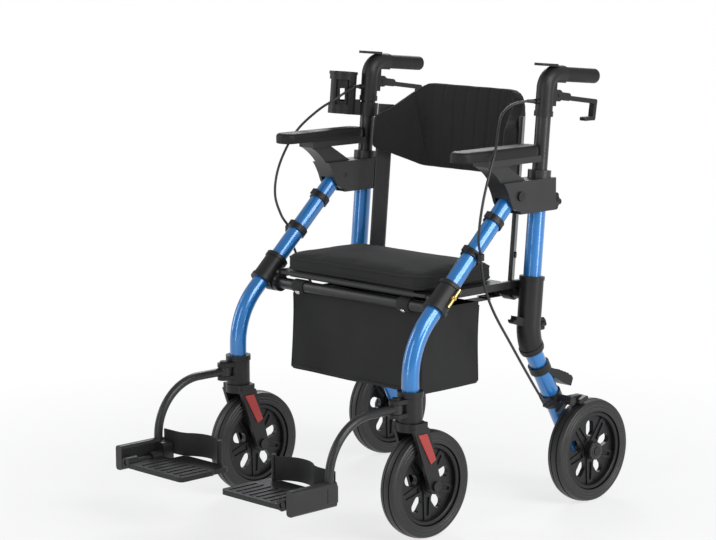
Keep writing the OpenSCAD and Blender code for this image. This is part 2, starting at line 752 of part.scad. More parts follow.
module front_rail() color(black_metal) difference() {
    cross_bar([front_rail_y, rail_z], -front_rail_end, front_rail_end, rail_d);
    cross_bar([front_rail_y, rail_z], -frame_x, frame_x, rail_d - 2 * rail_wall);
}

spring_len = 42;

// Sprung pins that lock the seat clamps, each under a leaf along the leg
module spring_pins() color(brass) both_sides() on_leg(joint_at - 4) {
    translate([joint_d / 2 + fit, 0, 0]) rotate([0, 90, 0]) cylinder(h = 5, d = 9);
    translate([joint_d / 2 + 4, 0, 0]) rotate([0, 90, 0]) cylinder(h = 5, d = 6);
    translate([joint_d / 2 + 5.2, 0, -spring_len / 2]) cylinder(h = spring_len, d = 5);
}

ear_t = 8;
eye_h = 17;
ear_z = head_z + caster_head_h / 2 - eye_h / 2;
pivot_pin_d = 10;

// Head under the front leg: bearing of the swivel stem, and the ears of the footrest hanger
module caster_head(side) color(black_plastic) on_side(side) {
    translate([frame_x, caster_y, 0]) difference() {
        union() {
            translate([0, 0, head_z]) cylinder(h = caster_head_h, d = caster_head_d);
            translate([0, 0, head_z + caster_head_h - 10]) cylinder(h = 10, d = caster_head_d + 4);
            for (z = [ear_z - ear_t, ear_z + eye_h]) translate([0, 0, z]) linear_extrude(ear_t)
                stroke([0, 0], [0, -hanger_pivot], 26);
        }
        translate([0, 0, leg_end_z - fit]) cylinder(h = caster_head_h, d = front_tube_d + 2 * fit);
        translate([0, 0, head_z - 1]) cylinder(h = caster_head_h, d = stem_d + 2 * run_fit);
        translate([0, -hanger_pivot, head_z]) cylinder(h = caster_head_h, d = pivot_pin_d + 2 * fit);
        translate([0, -hanger_pivot, ear_z - clear]) cylinder(h = eye_h + 2 * clear, d = 30);
    }
    translate([frame_x, pivot_y, ear_z - ear_t]) cylinder(h = eye_h + 2 * ear_t + 3, d = pivot_pin_d);
    translate([frame_x, pivot_y, ear_z + eye_h + ear_t]) cylinder(h = 4, d = pivot_pin_d + 6);
}

// Casters

axle_rel = [caster_y + caster_trail, axle_z];

module fork_leg_outline() {
    translate(axle_rel) circle(15);
    polygon([
        [caster_y - 18, crown_z + 6], [caster_y + 20, crown_z + 6],
        axle_rel + [14.5, 3], axle_rel + [-14.5, -3],
    ]);
}

module caster_fork(side) color(black_plastic) on_side(side) difference() {
    union() {
        for (s = [-1, 1]) side_view(frame_x + s * (fork_gap + fork_leg_t) / 2)
            linear_extrude(fork_leg_t, center = true) fork_leg_outline();
        translate([frame_x, caster_y, crown_z]) {
            cylinder(h = fork_crown_t, d = 50);
            linear_extrude(fork_crown_t) translate([0, 1]) rounded_rect(2 * fork_half, 38, 6);
            cylinder(h = head_z - crown_z + 44, d = stem_d);
            translate([0, 0, leg_end_z + 1 - crown_z]) cylinder(h = 8, d = stem_d + 8);
        }
    }
    cross_bar(axle_rel, frame_x - fork_half - 1, frame_x + fork_half + 1, axle_d + 2 * fit);
}

insert_t = 2;

// Red covers on the outer faces of the fork legs
module fork_inserts(side) color(insert_red) on_side(side) for (s = [-1, 1])
    side_view(frame_x + s * (fork_half + insert_t / 2)) linear_extrude(insert_t, center = true) difference() {
        polygon([
            [caster_y - 9, crown_z - 4], [caster_y + 13, crown_z - 4],
            axle_rel + [-1, 50], axle_rel + [-14, 43],
        ]);
        translate(axle_rel) circle(bolt_head_d / 2 + 2);
    }

module front_axle(side) color(steel) on_side(side) {
    cross_bar(axle_rel, frame_x - fork_half - bolt_head_t, frame_x + fork_half + bolt_head_t, axle_d);
    cross_bar(axle_rel, frame_x - fork_half - bolt_head_t, frame_x - fork_half, bolt_head_d);
    cross_bar(axle_rel, frame_x + fork_half, frame_x + fork_half + bolt_head_t, bolt_head_d);
}

// Wheels

rim_r = rim_d / 2;
tread_crown_r = 42;

// A shape about the Z axis, turned to a wheel at x and at the side-view point p
module at_wheel(x, p) translate([x, p.x, p.y]) rotate([0, 90, 0]) children();

module tyre_shape() rotate_extrude($fn = 96) difference() {
    intersection() {
        translate([rim_r + fit, -tyre_w / 2]) square([wheel_d / 2 - rim_r, tyre_w]);
        translate([wheel_d / 2 - tread_crown_r, 0]) circle(tread_crown_r);
        translate([wheel_d / 2 - 24, 0]) rounded_rect(48, tyre_w, 7);
    }
    for (s = [-1, 1]) translate([wheel_d / 2 - 1, s * tyre_w / 5]) square([4, 2.5], center = true);
}

hub_rim_t = 9;
hub_core_d = 36;
web_t = 14;
window_in_r = 37;
window_out_r = 48;
window_w = 21;

module hub_shape() difference() {
    union() {
        rotate_extrude($fn = 96) {
            translate([rim_r - hub_rim_t / 2, 0]) rounded_rect(hub_rim_t, tyre_w - 5, 3);
            translate([rim_r - hub_rim_t - 1, 0]) square([6, web_t - 5], center = true);
        }
        translate([0, 0, -hub_half]) cylinder(h = 2 * hub_half, d = hub_core_d - 8);
        cylinder(h = tyre_w - 8, d = hub_core_d, center = true);
        for (i = [0 : spoke_count - 1]) rotate(360 / spoke_count * i) linear_extrude(web_t, center = true)
            polygon([[8, -10], [8, 10], [rim_r - 5, 8], [rim_r - 5, -8]]);
        linear_extrude(web_t - 4.4, center = true) difference() {
            circle(rim_r - hub_rim_t / 2, $fn = 96);
            for (i = [0 : spoke_count - 1]) rotate(360 / spoke_count * (i + 0.5))
                stroke([window_in_r, 0], [window_out_r, 0], window_w);
        }
    }
    groove_end = rim_r - hub_rim_t - 8;
    for (i = [0 : spoke_count - 1], s = [-1, 1]) rotate(360 / spoke_count * i)
        translate([0, 0, s * web_t / 2]) linear_extrude(6, center = true)
            polygon([[24, -5], [24, 5], [groove_end, 3], [groove_end, -3]]);
    cylinder(h = 4 * hub_half, d = axle_d + 2 * run_fit, center = true);
}

module front_tyre(side) color(tyre_black) on_side(side) at_wheel(frame_x, axle_rel) tyre_shape();
module front_hub(side) color(hub_grey) on_side(side) at_wheel(frame_x, axle_rel) hub_shape();
module rear_tyre(side) color(tyre_black) on_side(side) at_wheel(rear_wheel_x, rear_axle) tyre_shape();
module rear_hub(side) color(hub_grey) on_side(side) at_wheel(rear_wheel_x, rear_axle) hub_shape();

// Handles, in the frame of the upright at the grip's height

knob_screw_d = 8;
knob_face = rear_tube_d / 2 + 15;
socket_low = 80;
lip_front = 27;
lip_rear = 24;
lip_w = 24;
barrel_len = 46;
bar_d = 18;
elbow_r = 28;
tube_top = -elbow_r - 2;
lever_pivot = [27, -40];
lever_pin_d = 6;
housing_w = lever_w + 12;

module on_handle(side) on_side(side) on_upright(grip_z) children();

module handle_tube(side) color(black_metal) on_handle(side)
    translate([0, 0, tube_top - handle_tube_len]) difference() {
    cylinder(h = handle_tube_len, d = handle_tube_d);
    translate([0, 0, -1]) cylinder(h = handle_tube_len + 2, d = handle_tube_d - 4);
}

module handle_head(side) color(black_plastic) on_handle(side) {
    difference() {
        union() {
            rotate([90, 0, 90]) bent_rod([[0, -socket_low], [0, 0], [barrel_len, 0]], elbow_r, head_d);
            translate([0, 0, -socket_low]) cylinder(h = 10, d = head_d + 3);
            translate([0, (lip_rear - lip_front) / 2, head_d / 2 - 3]) linear_extrude(5)
                rounded_rect(lip_w, lip_rear + lip_front, 8);
            long_bar([0, barrel_len - 5, 0], grip_len - 9, bar_d);
            rotate([90, 0, 90]) linear_extrude(housing_w, center = true) {
                translate([0, -60]) square([20, 56]);
                translate([18, -16]) square([26, 14]);
                stroke([12, -40], lever_pivot, 22);
            }
            long_bar([0, -exit_back, -exit_drop], exit_back, 10);
        }
        translate([0, 0, -socket_low - 1])
            cylinder(h = socket_low + 1 + tube_top + fit, d = handle_tube_d + 2 * fit);
        rotate([90, 0, 90]) linear_extrude(lever_w + 2 * clear, center = true) {
            translate(lever_pivot) circle(12);
            translate([lever_pivot.x - 4, -60]) square([60, 44]);
        }
        rotate([90, 0, 90]) translate([lever_pivot.x, lever_pivot.y, -housing_w])
            cylinder(h = 2 * housing_w, d = lever_pin_d + 2 * fit);
    }
    rotate([90, 0, 90]) translate([lever_pivot.x, lever_pivot.y, -housing_w / 2 - 1])
        cylinder(h = housing_w + 2, d = lever_pin_d);
}

grip_end_r = 3.5;

// Side view of half the grip: a straight sleeve with a blunt, rounded end
module grip_profile() difference() {
    r = grip_d / 2;
    polygon(concat(
        [[0, 0], [r + 1.2, 0], [r + 1.2, 4], [r, 5.2]],
        [for (a = [0 : 18 : 90]) [r - grip_end_r * (1 - cos(a)), grip_len - grip_end_r * (1 - sin(a))]],
        [[0, grip_len]]));
    translate([-1, -1]) square([bar_d / 2 + fit + 1, grip_len - 13 + fit]);
}

module grip(side) color(black_plastic) on_handle(side) translate([0, barrel_len + fit, 0]) rotate([-90, 0, 0])
    rotate_extrude() grip_profile();

module brake_lever(side) color(black_plastic) on_handle(side) rotate([90, 0, 90])
    linear_extrude(lever_w, center = true) difference() {
        union() {
            tip = lever_pivot + [lever_len, -8];
            stroke(lever_pivot, lever_pivot + [34, -2], 15);
            stroke(lever_pivot + [20, -3], tip, 9);
            stroke(tip, tip + [-2, -32], 8.4);
            stroke(tip + [-2, -32], tip + [-26, -34], 7.6);
        }
        translate(lever_pivot) circle(d = lever_pin_d + 2 * run_fit);
    }

knob_d = 34;
knob_t = 17;

module height_knob(side) color(black_plastic) on_side(side) on_upright(knob_z) {
    start = handle_tube_d / 2 + clear;
    long_bar([0, start, 0], knob_face + 2 - start, knob_screw_d);
    translate([0, knob_face + clear, 0]) rotate([-90, 0, 0]) {
        linear_extrude(knob_t) {
            circle(d = knob_d - 8);
            for (a = [0 : 72 : 288]) rotate(a) translate([knob_d / 2 - 6, 0]) circle(d = 12);
        }
        cylinder(h = knob_t + 2, d = knob_d / 2);
    }
}

cup_at = [28, -46];
cup_top = -25;
cup_wall = 3;
clamp_h = 26;
cup_windows = [45, 225, 315];
cup_window_w = 25;

// Open cup with slotted walls, clamped to the far handle tube
module cup_holder() color(black_plastic) on_handle(-1) {
    low = cup_top - cup_h;
    clamp_z = -socket_low - 4 - clamp_h;
    difference() {
        union() {
            translate([cup_at.x, cup_at.y, low]) cylinder(h = cup_h, d = cup_d);
            translate([cup_at.x, cup_at.y, cup_top - 6]) cylinder(h = 6, d = cup_d + 3);
            translate([0, 0, clamp_z]) linear_extrude(clamp_h) {
                circle(d = handle_tube_d + 12);
                stroke([0, 0], 0.7 * cup_at, 20);
            }
            translate([0, 0, low]) linear_extrude(30) stroke(0.42 * cup_at, 0.7 * cup_at, 18);
        }
        translate([cup_at.x, cup_at.y, low + 4]) cylinder(h = cup_h + 1, d = cup_d - 2 * cup_wall);
        translate([0, 0, clamp_z - 1]) cylinder(h = 200, d = handle_tube_d + 2 * fit);
        translate([0, 0, clamp_z + clamp_h]) cylinder(h = 200, d = head_d + 3 + 4 * clear);
        for (a = cup_windows) translate([cup_at.x, cup_at.y, low + 18]) rotate(a)
            translate([cup_d / 2 - 3 * cup_wall, -cup_window_w / 2, 0])
                cube([6 * cup_wall, cup_window_w, cup_h - 34]);
    }
}

// Seat

seat_bar_x = frame_x - sleeve_rib_d / 2 - swing_clear - seat_bar_w / 2;
bar_z = rail_z + rail_r + clear;
bar_rear_y = rear_rail_y + rail_r + 2;
board_top_z = bar_z + seat_bar_h;
board_half_x = seat_bar_x - seat_bar_w / 2 + 1;
board_front_y = seat_front_y + 6;
board_rear_y = seat_rear_y - 4;

// Board with two side bars, hinged on the front rail and resting on the rear rail
module seat_frame() color(black_metal) {
    both_sides() difference() {
        side_view(seat_bar_x) linear_extrude(seat_bar_w, center = true) {
            translate([front_rail_y, rail_z]) circle(d = rail_d + 12);
            stroke([front_rail_y, bar_z + seat_bar_h / 2], [bar_rear_y, bar_z + seat_bar_h / 2], seat_bar_h);
        }
        cross_bar([front_rail_y, rail_z], 0, frame_x, rail_d + 2 * run_fit);
    }
    translate([0, (board_front_y + board_rear_y) / 2, board_top_z - seat_board_t])
        linear_extrude(seat_board_t)
        rounded_rect(2 * board_half_x, board_rear_y - board_front_y, 10);
}

// Ring of the seat pad: rounded corners, with the sides drawn in between them
function seat_ring(inset, z, shrink = 1) = let (
    a = (seat_w / 2 - inset) * shrink,
    b = ((seat_rear_y - seat_front_y) / 2 - inset) * shrink,
    draw_in = 4 * shrink)
    [for (i = [0 : 59]) let (
        u = bulge(cos(6 * i), 0.28), v = bulge(sin(6 * i), 0.28))
        [
            u * (a - draw_in * (1 - v * v)),
            (seat_front_y + seat_rear_y) / 2 + v * (b - draw_in * (1 - u * u)),
            z,
        ]];

seat_pad_z = board_top_z + 0.3;

module seat_pad() color(black_cloth) translate([0, 0, seat_pad_z]) loft(concat(
    [seat_ring(9, 0), seat_ring(3, 3), seat_ring(0, seat_edge_t * 0.4), seat_ring(1, seat_edge_t * 0.75),
        seat_ring(5, seat_edge_t)],
    [for (i = [1 : 9]) let (s = 1 - pow(i / 10, 1.4))
        seat_ring(5, seat_edge_t + seat_crown * (1 - pow(s, 2.6)), s)]));

// Footrests

hanger_z = ear_z + eye_h / 2;
hanger_path = [[pivot_y - 6, hanger_z], [hanger_y, hanger_z], [hanger_y, foot_hinge_z + 10]];
foot_hinge_x = frame_x - 20;
foot_rod_d = 10;
foot_barrel_d = 2 * foot_t + 2.6;
block_half = 12;
guard_t = 17;
guard_h = 46;
guard_x = foot_hinge_x + foot_barrel_d / 2 + swing_clear + guard_t / 2;

module hanger(side) color(black_metal) on_side(side) {
    difference() {
        union() {
            side_view() bent_rod(hanger_path, hanger_bend_r, hanger_d);
            translate([frame_x, pivot_y, ear_z + clear]) cylinder(h = eye_h - 2 * clear, d = 24);
        }
        translate([frame_x, pivot_y, 0]) cylinder(h = 2 * hanger_z, d = pivot_pin_d + 2 * run_fit);
    }
    translate([(foot_hinge_x + frame_x) / 2, hanger_y, 0]) rotate([90, 0, 0])
        linear_extrude(2 * block_half, center = true)
        translate([0, foot_hinge_z + 6]) rounded_rect(40, 38, 8);
    translate([guard_x, foot_front_y + 0.5, foot_hinge_z + 6]) rotate([-90, 0, 0])
        linear_extrude(hanger_y + block_half - 2 - foot_front_y) rounded_rect(guard_t, guard_h, 6);
    long_bar([foot_hinge_x, foot_front_y + 2, foot_hinge_z], hanger_y - foot_front_y - 2, foot_rod_d);
}

foot_inner_x = foot_hinge_x - foot_w;
heel_y = hanger_y + hanger_d / 2 + swing_clear + 12;
heel_x = foot_hinge_x - 28;
knuckle = 24;
strap_x0 = foot_inner_x + 24;
strap_post_d = 8;

// Foot plate, hinged on the hanger's rod, with treads and a heel ledge behind the hanger
module foot_plate(side) color(black_plastic) on_side(side) {
    top = foot_hinge_z;
    difference() {
        union() {
            for (y = [foot_front_y, foot_block_y - clear - knuckle])
                long_bar([foot_hinge_x, y, foot_hinge_z], knuckle, foot_barrel_d);
            translate([0, 0, top - foot_t]) linear_extrude(foot_t) {
                translate([(foot_inner_x + foot_hinge_x) / 2 - 10, foot_front_y + foot_len / 2])
                    rounded_rect(foot_w - 20, foot_len, 9);
                translate([foot_hinge_x - 40, foot_front_y + 0.5]) square([38, foot_len - 1]);
                translate([(foot_inner_x + heel_x) / 2, (foot_front_y + foot_len / 2 + heel_y) / 2])
                    rounded_rect(heel_x - foot_inner_x - 6, heel_y - foot_front_y - foot_len / 2, 9);
            }
            translate([strap_x0 - strap_post_d / 2 - clear, heel_y - 7, top - 1])
                cylinder(h = strap_h + 5, d = strap_post_d);
            for (i = [0 : 6]) translate([foot_inner_x + 12 + 18 * i, foot_front_y + 10, top - 0.5])
                cube([5, foot_len - 20, 2]);
        }
        long_bar([foot_hinge_x, foot_front_y - 1, foot_hinge_z], foot_len + 20, foot_rod_d + 2 * run_fit);
        translate([foot_hinge_x - foot_barrel_d / 2 - 1, foot_front_y + knuckle, top - 30])
            cube([60, foot_len - 2 * knuckle, 60]);
    }
}

strap_t = 3;
strap_bow = 22;

// Heel strap: a band that bows back between the two ends of the heel ledge
module heel_strap(side) color(black_cloth) on_side(side) {
    x0 = strap_x0;
    x1 = heel_x - 6;
    half = (x1 - x0) / 2;
    bow_r = (half * half + strap_bow * strap_bow) / (2 * strap_bow);
    translate([0, 0, foot_hinge_z + clear]) intersection() {
        translate([(x0 + x1) / 2, heel_y - 6 + strap_bow - bow_r, 0]) difference() {
            cylinder(h = strap_h, r = bow_r, $fn = 128);
            translate([0, 0, -1]) cylinder(h = strap_h + 2, r = bow_r - strap_t, $fn = 128);
        }
        translate([x0, heel_y - 10, 0]) cube([x1 - x0, strap_bow + 10, strap_h]);
        translate([(x0 + x1) / 2, heel_y + 40, 0]) rotate([90, 0, 0]) linear_extrude(80)
            polygon([[-half, 0], [half, 0], [half, strap_h], [-half, strap_h]]);
    }
}

placed() rear_tube(1);  // rear_tube_l
placed() rear_tube(-1);  // rear_tube_r
placed() rear_sleeves();
placed() rear_rail();
placed() armrest_bracket(1);  // armrest_bracket_l
placed() armrest_bracket(-1);  // armrest_bracket_r
placed() armrest_pad(1);  // armrest_pad_l
placed() armrest_pad(-1);  // armrest_pad_r
placed() fold_pins();
placed() tip_pedals();
placed() rear_axles();
placed() brake_mounts();
placed() backrest_posts();
placed() backrest_pad();
placed() brake_cable(1);  // brake_cable_l
placed() brake_cable(-1);  // brake_cable_r
placed() bag();
placed() front_leg(1);  // front_leg_l
placed() front_leg(-1);  // front_leg_r
placed() leg_clips();
placed() seat_joints();
placed() front_rail();
placed() spring_pins();
placed() caster_head(1);  // caster_head_l
placed() caster_head(-1);  // caster_head_r
placed() caster_fork(1);  // caster_fork_l
placed() caster_fork(-1);  // caster_fork_r
placed() fork_inserts(1);  // fork_inserts_l
placed() fork_inserts(-1);  // fork_inserts_r
placed() front_axle(1);  // front_axle_l
placed() front_axle(-1);  // front_axle_r
placed() front_tyre(1);  // front_tyre_l
placed() front_tyre(-1);  // front_tyre_r
placed() front_hub(1);  // front_hub_l
placed() front_hub(-1);  // front_hub_r
placed() rear_tyre(1);  // rear_tyre_l
placed() rear_tyre(-1);  // rear_tyre_r
placed() rear_hub(1);  // rear_hub_l
placed() rear_hub(-1);  // rear_hub_r
placed() handle_tube(1);  // handle_tube_l
placed() handle_tube(-1);  // handle_tube_r
placed() handle_head(1);  // handle_head_l
placed() handle_head(-1);  // handle_head_r
placed() grip(1);  // grip_l
placed() grip(-1);  // grip_r
placed() brake_lever(1);  // brake_lever_l
placed() brake_lever(-1);  // brake_lever_r
placed() height_knob(1);  // height_knob_l
placed() height_knob(-1);  // height_knob_r
placed() cup_holder();
placed() seat_frame();
placed() seat_pad();
placed() hanger(1);  // hanger_l
placed() hanger(-1);  // hanger_r
placed() foot_plate(1);  // foot_plate_l
placed() foot_plate(-1);  // foot_plate_r
placed() heel_strap(1);  // heel_strap_l
placed() heel_strap(-1);  // heel_strap_r
placed() brake_arm(1);  // brake_arm_l
placed() brake_arm(-1);  // brake_arm_r
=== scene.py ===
# %% [markdown]
# # A rollator transport chair
# A rollator is a walking frame on wheels. This one is also a chair: it has a seat, a padded backrest,
# a bag and footrests that swing away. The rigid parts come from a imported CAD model, which stays as it is.
# This lesson gives those parts their finishes, and makes the soft goods that CAD only blocks out.

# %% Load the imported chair
import json
import math

import bpy
from mathutils import Matrix, Vector, noise

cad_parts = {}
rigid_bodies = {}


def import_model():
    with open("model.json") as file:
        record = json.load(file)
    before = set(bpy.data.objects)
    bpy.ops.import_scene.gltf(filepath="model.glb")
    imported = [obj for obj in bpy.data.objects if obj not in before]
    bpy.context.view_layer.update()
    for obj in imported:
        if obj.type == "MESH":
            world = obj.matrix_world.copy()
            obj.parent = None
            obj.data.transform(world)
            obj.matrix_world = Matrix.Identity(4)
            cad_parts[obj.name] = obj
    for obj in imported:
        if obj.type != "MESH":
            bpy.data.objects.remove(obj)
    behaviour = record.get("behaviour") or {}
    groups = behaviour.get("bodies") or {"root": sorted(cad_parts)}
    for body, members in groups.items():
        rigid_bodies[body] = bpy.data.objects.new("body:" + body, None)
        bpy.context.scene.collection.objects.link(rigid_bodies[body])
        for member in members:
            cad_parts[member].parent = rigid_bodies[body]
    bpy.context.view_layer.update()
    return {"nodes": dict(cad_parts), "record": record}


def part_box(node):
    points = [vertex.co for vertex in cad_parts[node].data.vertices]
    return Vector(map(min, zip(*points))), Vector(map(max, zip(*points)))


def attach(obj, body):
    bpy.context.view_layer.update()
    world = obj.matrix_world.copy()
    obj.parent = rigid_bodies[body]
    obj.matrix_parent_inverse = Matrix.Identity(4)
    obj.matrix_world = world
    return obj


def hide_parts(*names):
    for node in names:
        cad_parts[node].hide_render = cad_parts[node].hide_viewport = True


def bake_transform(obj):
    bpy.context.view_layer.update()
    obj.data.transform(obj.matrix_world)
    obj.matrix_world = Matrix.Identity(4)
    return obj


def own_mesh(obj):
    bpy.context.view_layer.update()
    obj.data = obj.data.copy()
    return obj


for leftover in list(bpy.data.objects):
    bpy.data.objects.remove(leftover)
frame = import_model()
nodes = frame["nodes"]
MM = 0.001

# %% [markdown]
# ## Places that the soft goods share with the frame
# CAD knows where everything is, so each place is read from a node's box. Only a few values aren't in any
# box: the uprights lean back a little, the backrest's wings turn forward, and the chair was drawn round a
# point on the floor that lies behind the middle of its box.

# %% Read the frame's places
SIDES = {"l": 1, "r": -1}
UPRIGHT_LEAN = math.radians(5.3)
WING_TURN = math.radians(58)
DRAWN_ROUND = Vector((0, 115.2 * MM, 0))


def middle(node):
    low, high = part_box(node)
    return (low + high) / 2


def size_of(node):
    low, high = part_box(node)
    return high - low


front_rail = middle("front_rail")
rear_rail = middle("rear_rail")
rail_r = size_of("rear_rail").z / 2
print("rails at", front_rail, rear_rail, "radius", rail_r)

# %% [markdown]
# ## Camera
# The camera stands a little above the handles' height at the chair's front left corner, far away, with a
# long lens.

# %% Set the camera
TARGET = DRAWN_ROUND + Vector((0, 0, 0.45))
CAMERA_AZIMUTH = math.radians(44.78)
CAMERA_ELEVATION = math.radians(9.177)
CAMERA_DISTANCE = 4.4566
LENS, SENSOR = 116.77, 36
SHIFT = (-0.0754, -0.0063)

toward = Vector((
    math.cos(CAMERA_ELEVATION) * math.sin(CAMERA_AZIMUTH),
    -math.cos(CAMERA_ELEVATION) * math.cos(CAMERA_AZIMUTH),
    math.sin(CAMERA_ELEVATION),
))
facing = toward.to_track_quat("Z", "Y").to_euler()
bpy.ops.object.camera_add(location=TARGET + CAMERA_DISTANCE * toward, rotation=facing)
camera = bpy.context.object
camera.data.lens = LENS
camera.data.sensor_width = SENSOR
camera.data.shift_x, camera.data.shift_y = SHIFT
bpy.context.scene.camera = camera
bpy.context.scene.view_settings.view_transform = "Standard"
print("camera at", camera.location)

# %% [markdown]
# ## Finishes written as formulas
# A node material is a formula for a surface, so it reads best as one. Wire wraps an output socket and
# takes part in sums; Finish adds any node in one line, and its settings come before its sockets.

# %% Wire and Finish
class Wire:
    """An output socket that can be added, subtracted and multiplied."""

    def __init__(self, tree, socket):
        self.tree, self.socket = tree, socket

    def math(self, operation, other, swapped=False):
        pair = (other, self) if swapped else (self, other)
        return self.tree.add("Math", {"operation": operation}, dict(enumerate(pair)))

    def __add__(self, other):
        return self.math("ADD", other)

    def __sub__(self, other):
        return self.math("SUBTRACT", other)

    def __rsub__(self, other):
        return self.math("SUBTRACT", other, swapped=True)

    def __mul__(self, other):
        return self.math("MULTIPLY", other)

    __radd__ = __add__
    __rmul__ = __mul__


class Finish:
    """The node tree of a material or of the world."""

    def __init__(self, owner):
        owner.use_nodes = True
        self.owner = owner
        self.tree = owner.node_tree
        self.tree.nodes.clear()

    def add(self, kind, settings=None, inputs=None, output=0):
        node = self.tree.nodes.new("ShaderNode" + kind)
        for name, value in (settings or {}).items():
            setattr(node, name, value)
        for name, value in (inputs or {}).items():
            if isinstance(value, Wire):
                self.tree.links.new(value.socket, node.inputs[name])
            else:
                node.inputs[name].default_value = value
        return Wire(self, node.outputs[output])

    def place(self, scale=(1, 1, 1)):
        at = self.add("TexCoord", output="Object")
        return self.add("Mapping", {}, {"Vector": at, "Scale": scale})

    def noise(self, scale, detail=3, at=None):
        return self.add("TexNoise", {}, {"Vector": at or self.place(), "Scale": scale, "Detail": detail})

    def cells(self, scale):
        return self.add("TexVoronoi", {}, {"Vector": self.place(), "Scale": scale})

    def wave(self, scale, direction):
        settings = {"wave_type": "BANDS", "bands_direction": direction}
        return self.add("TexWave", settings, {"Vector": self.place(), "Scale": scale}, output="Fac")

    def between(self, share, first, second):
        colours = {0: share, 6: (*first, 1), 7: (*second, 1)}
        return self.add("Mix", {"data_type": "RGBA"}, colours, output=2)

    def steps(self, value, low, high):
        ends = {"Value": value, "From Min": low, "From Max": high}
        return self.add("MapRange", {"clamp": True}, ends)

    def bump(self, height, distance):
        return self.add("Bump", {}, {"Height": height, "Distance": distance, "Strength": 1.0})

    def shade(self, **sockets):
        named = {name.replace("_", " "): value for name, value in sockets.items()}
        shader = self.add("BsdfPrincipled", {}, named, output="BSDF")
        self.add_surface(shader)
        return self.owner

    def add_surface(self, shader, kind="OutputMaterial"):
        node = self.tree.nodes.new("ShaderNode" + kind)
        self.tree.links.new(shader.socket, node.inputs["Surface"])


def new_finish(name):
    return Finish(bpy.data.materials.new(name))


# %% [markdown]
# ## Floor and light
# A product photograph like this has a white surround. The floor has to keep the chair's shadow and still fade
# into white, so it is a plane whose diffuse white gives way to a glow with the distance from the chair.

# %% Floor
SURROUND = (1.0, 1.0, 1.0)
FLOOR_NEAR, FLOOR_FAR, FLOOR_GLOW = 0.5, 1.4, 0.72

bpy.ops.object.select_all(action="DESELECT")
bpy.ops.mesh.primitive_plane_add(size=24, location=(0, 0, 0))
floor = bpy.context.object
floor.name = "floor"
look = new_finish("pale floor")
spread = look.add("VectorMath", {"operation": "LENGTH"}, {0: look.place()}, output="Value")
lit = look.add("BsdfDiffuse", {}, {"Color": (0.90, 0.90, 0.91, 1)})
bright = look.add("Emission", {}, {"Color": (*SURROUND, 1), "Strength": 1.0})
fade = FLOOR_GLOW + (1 - FLOOR_GLOW) * look.steps(spread, FLOOR_NEAR, FLOOR_FAR)
look.add_surface(look.add("MixShader", {}, {0: fade, 1: lit, 2: bright}))
floor.data.materials.append(look.owner)
print("the floor fades between", FLOOR_NEAR, "and", FLOOR_FAR, "m")

# %% [markdown]
# Only rays from the camera, from gloss and through glass see the white world. To all other rays it is dim, so
# a white surround doesn't wash out the chair.

# %% World
GLOSS_SEES, SOFT_LIGHT = 0.3, 0.26

world = bpy.data.worlds.new("studio")
bpy.context.scene.world = world
sky = Finish(world)
seen = [sky.add("LightPath", output=ray) for ray in ("Is Camera Ray", "Is Glossy Ray", "Is Transmission Ray")]
direct = sky.add("Clamp", {}, {"Value": seen[0] + seen[1] * GLOSS_SEES + seen[2]})
soft = sky.add("Background", {}, {"Color": (0.93, 0.96, 1.0, 1), "Strength": SOFT_LIGHT})
white = sky.add("Background", {}, {"Color": (*SURROUND, 1), "Strength": 1.0})
sky.add_surface(sky.add("MixShader", {}, {0: direct, 1: soft, 2: white}), "OutputWorld")
print("the world gives soft light of", SOFT_LIGHT)

# %% [markdown]
# A few large, soft lamps light the chair. Upright strips draw long highlights along the tubes, and a lamp
# behind the chair parts its black pieces from each other.

# %% Lamps
def softbox(name, place, aim, width, height, watts):
    place = Vector(place)
    turn = (place - Vector(aim)).to_track_quat("Z", "Y").to_euler()
    bpy.ops.object.light_add(type="AREA", location=place, rotation=turn)
    lamp = bpy.context.object
    lamp.name = name
    lamp.data.shape = "RECTANGLE"
    lamp.data.size, lamp.data.size_y = width, height
    lamp.data.energy = watts


softbox("key", (3.1, -0.5, 2.6), (0, 0.1, 0.45), 1.6, 1.6, 56)
softbox("front strip", (0.6, -3.4, 1.3), (0, 0.1, 0.5), 0.4, 2.6, 24)
softbox("right strip", (3.5, 0.9, 1.3), (0, 0.1, 0.5), 0.9, 2.6, 56)
softbox("rim", (-2.0, 2.2, 2.4), (0, 0.1, 0.5), 1.4, 1.4, 40)
softbox("left strip", (-2.6, -1.6, 1.4), (0, 0.1, 0.5), 0.5, 2.0, 18)

# %% [markdown]
# ## Paint, metal and plastic
# The frame has a bright azure paint with fine metal flake under a clear coat. The other rigid parts are
# black, and only their texture tells them apart: powder coat is pebbled, moulded plastic has a fine even
# grain, rubber is dull, and tyres have painted highlights on their rings and shoulders.

# %% Makers of rigid finishes
def paint_finish():
    f = new_finish("azure paint")
    flake = f.cells(1500)
    cloud = f.noise(14)
    colour = f.between(flake * 0.5 + cloud * 0.5, (0.006, 0.125, 0.380), (0.014, 0.215, 0.590))
    peel = f.noise(260, 2)
    return f.shade(Base_Color=colour, Metallic=0.3, Roughness=0.26 + cloud * 0.08, Coat_Weight=1.0,
                   Coat_Roughness=0.05, Normal=f.bump(peel, 0.00006))


def grained(name, dark, light, rough, grain_scale, grain_depth, specular=0.5):
    f = new_finish(name)
    grain = f.noise(grain_scale, 2)
    blotch = f.noise(22, 4)
    colour = f.between(grain * 0.45 + blotch * 0.55, dark, light)
    return f.shade(Base_Color=colour, Roughness=rough - 0.08 + blotch * 0.16, Specular_IOR_Level=specular,
                   Normal=f.bump(grain, grain_depth))


def brushed(name, dark, light, rough):
    f = new_finish(name)
    lines = f.noise(420, 2, f.place((0.12, 1, 1)))
    colour = f.between(lines, dark, light)
    return f.shade(Base_Color=colour, Metallic=1.0, Roughness=rough + lines * 0.12,
                   Normal=f.bump(lines, 0.00003))


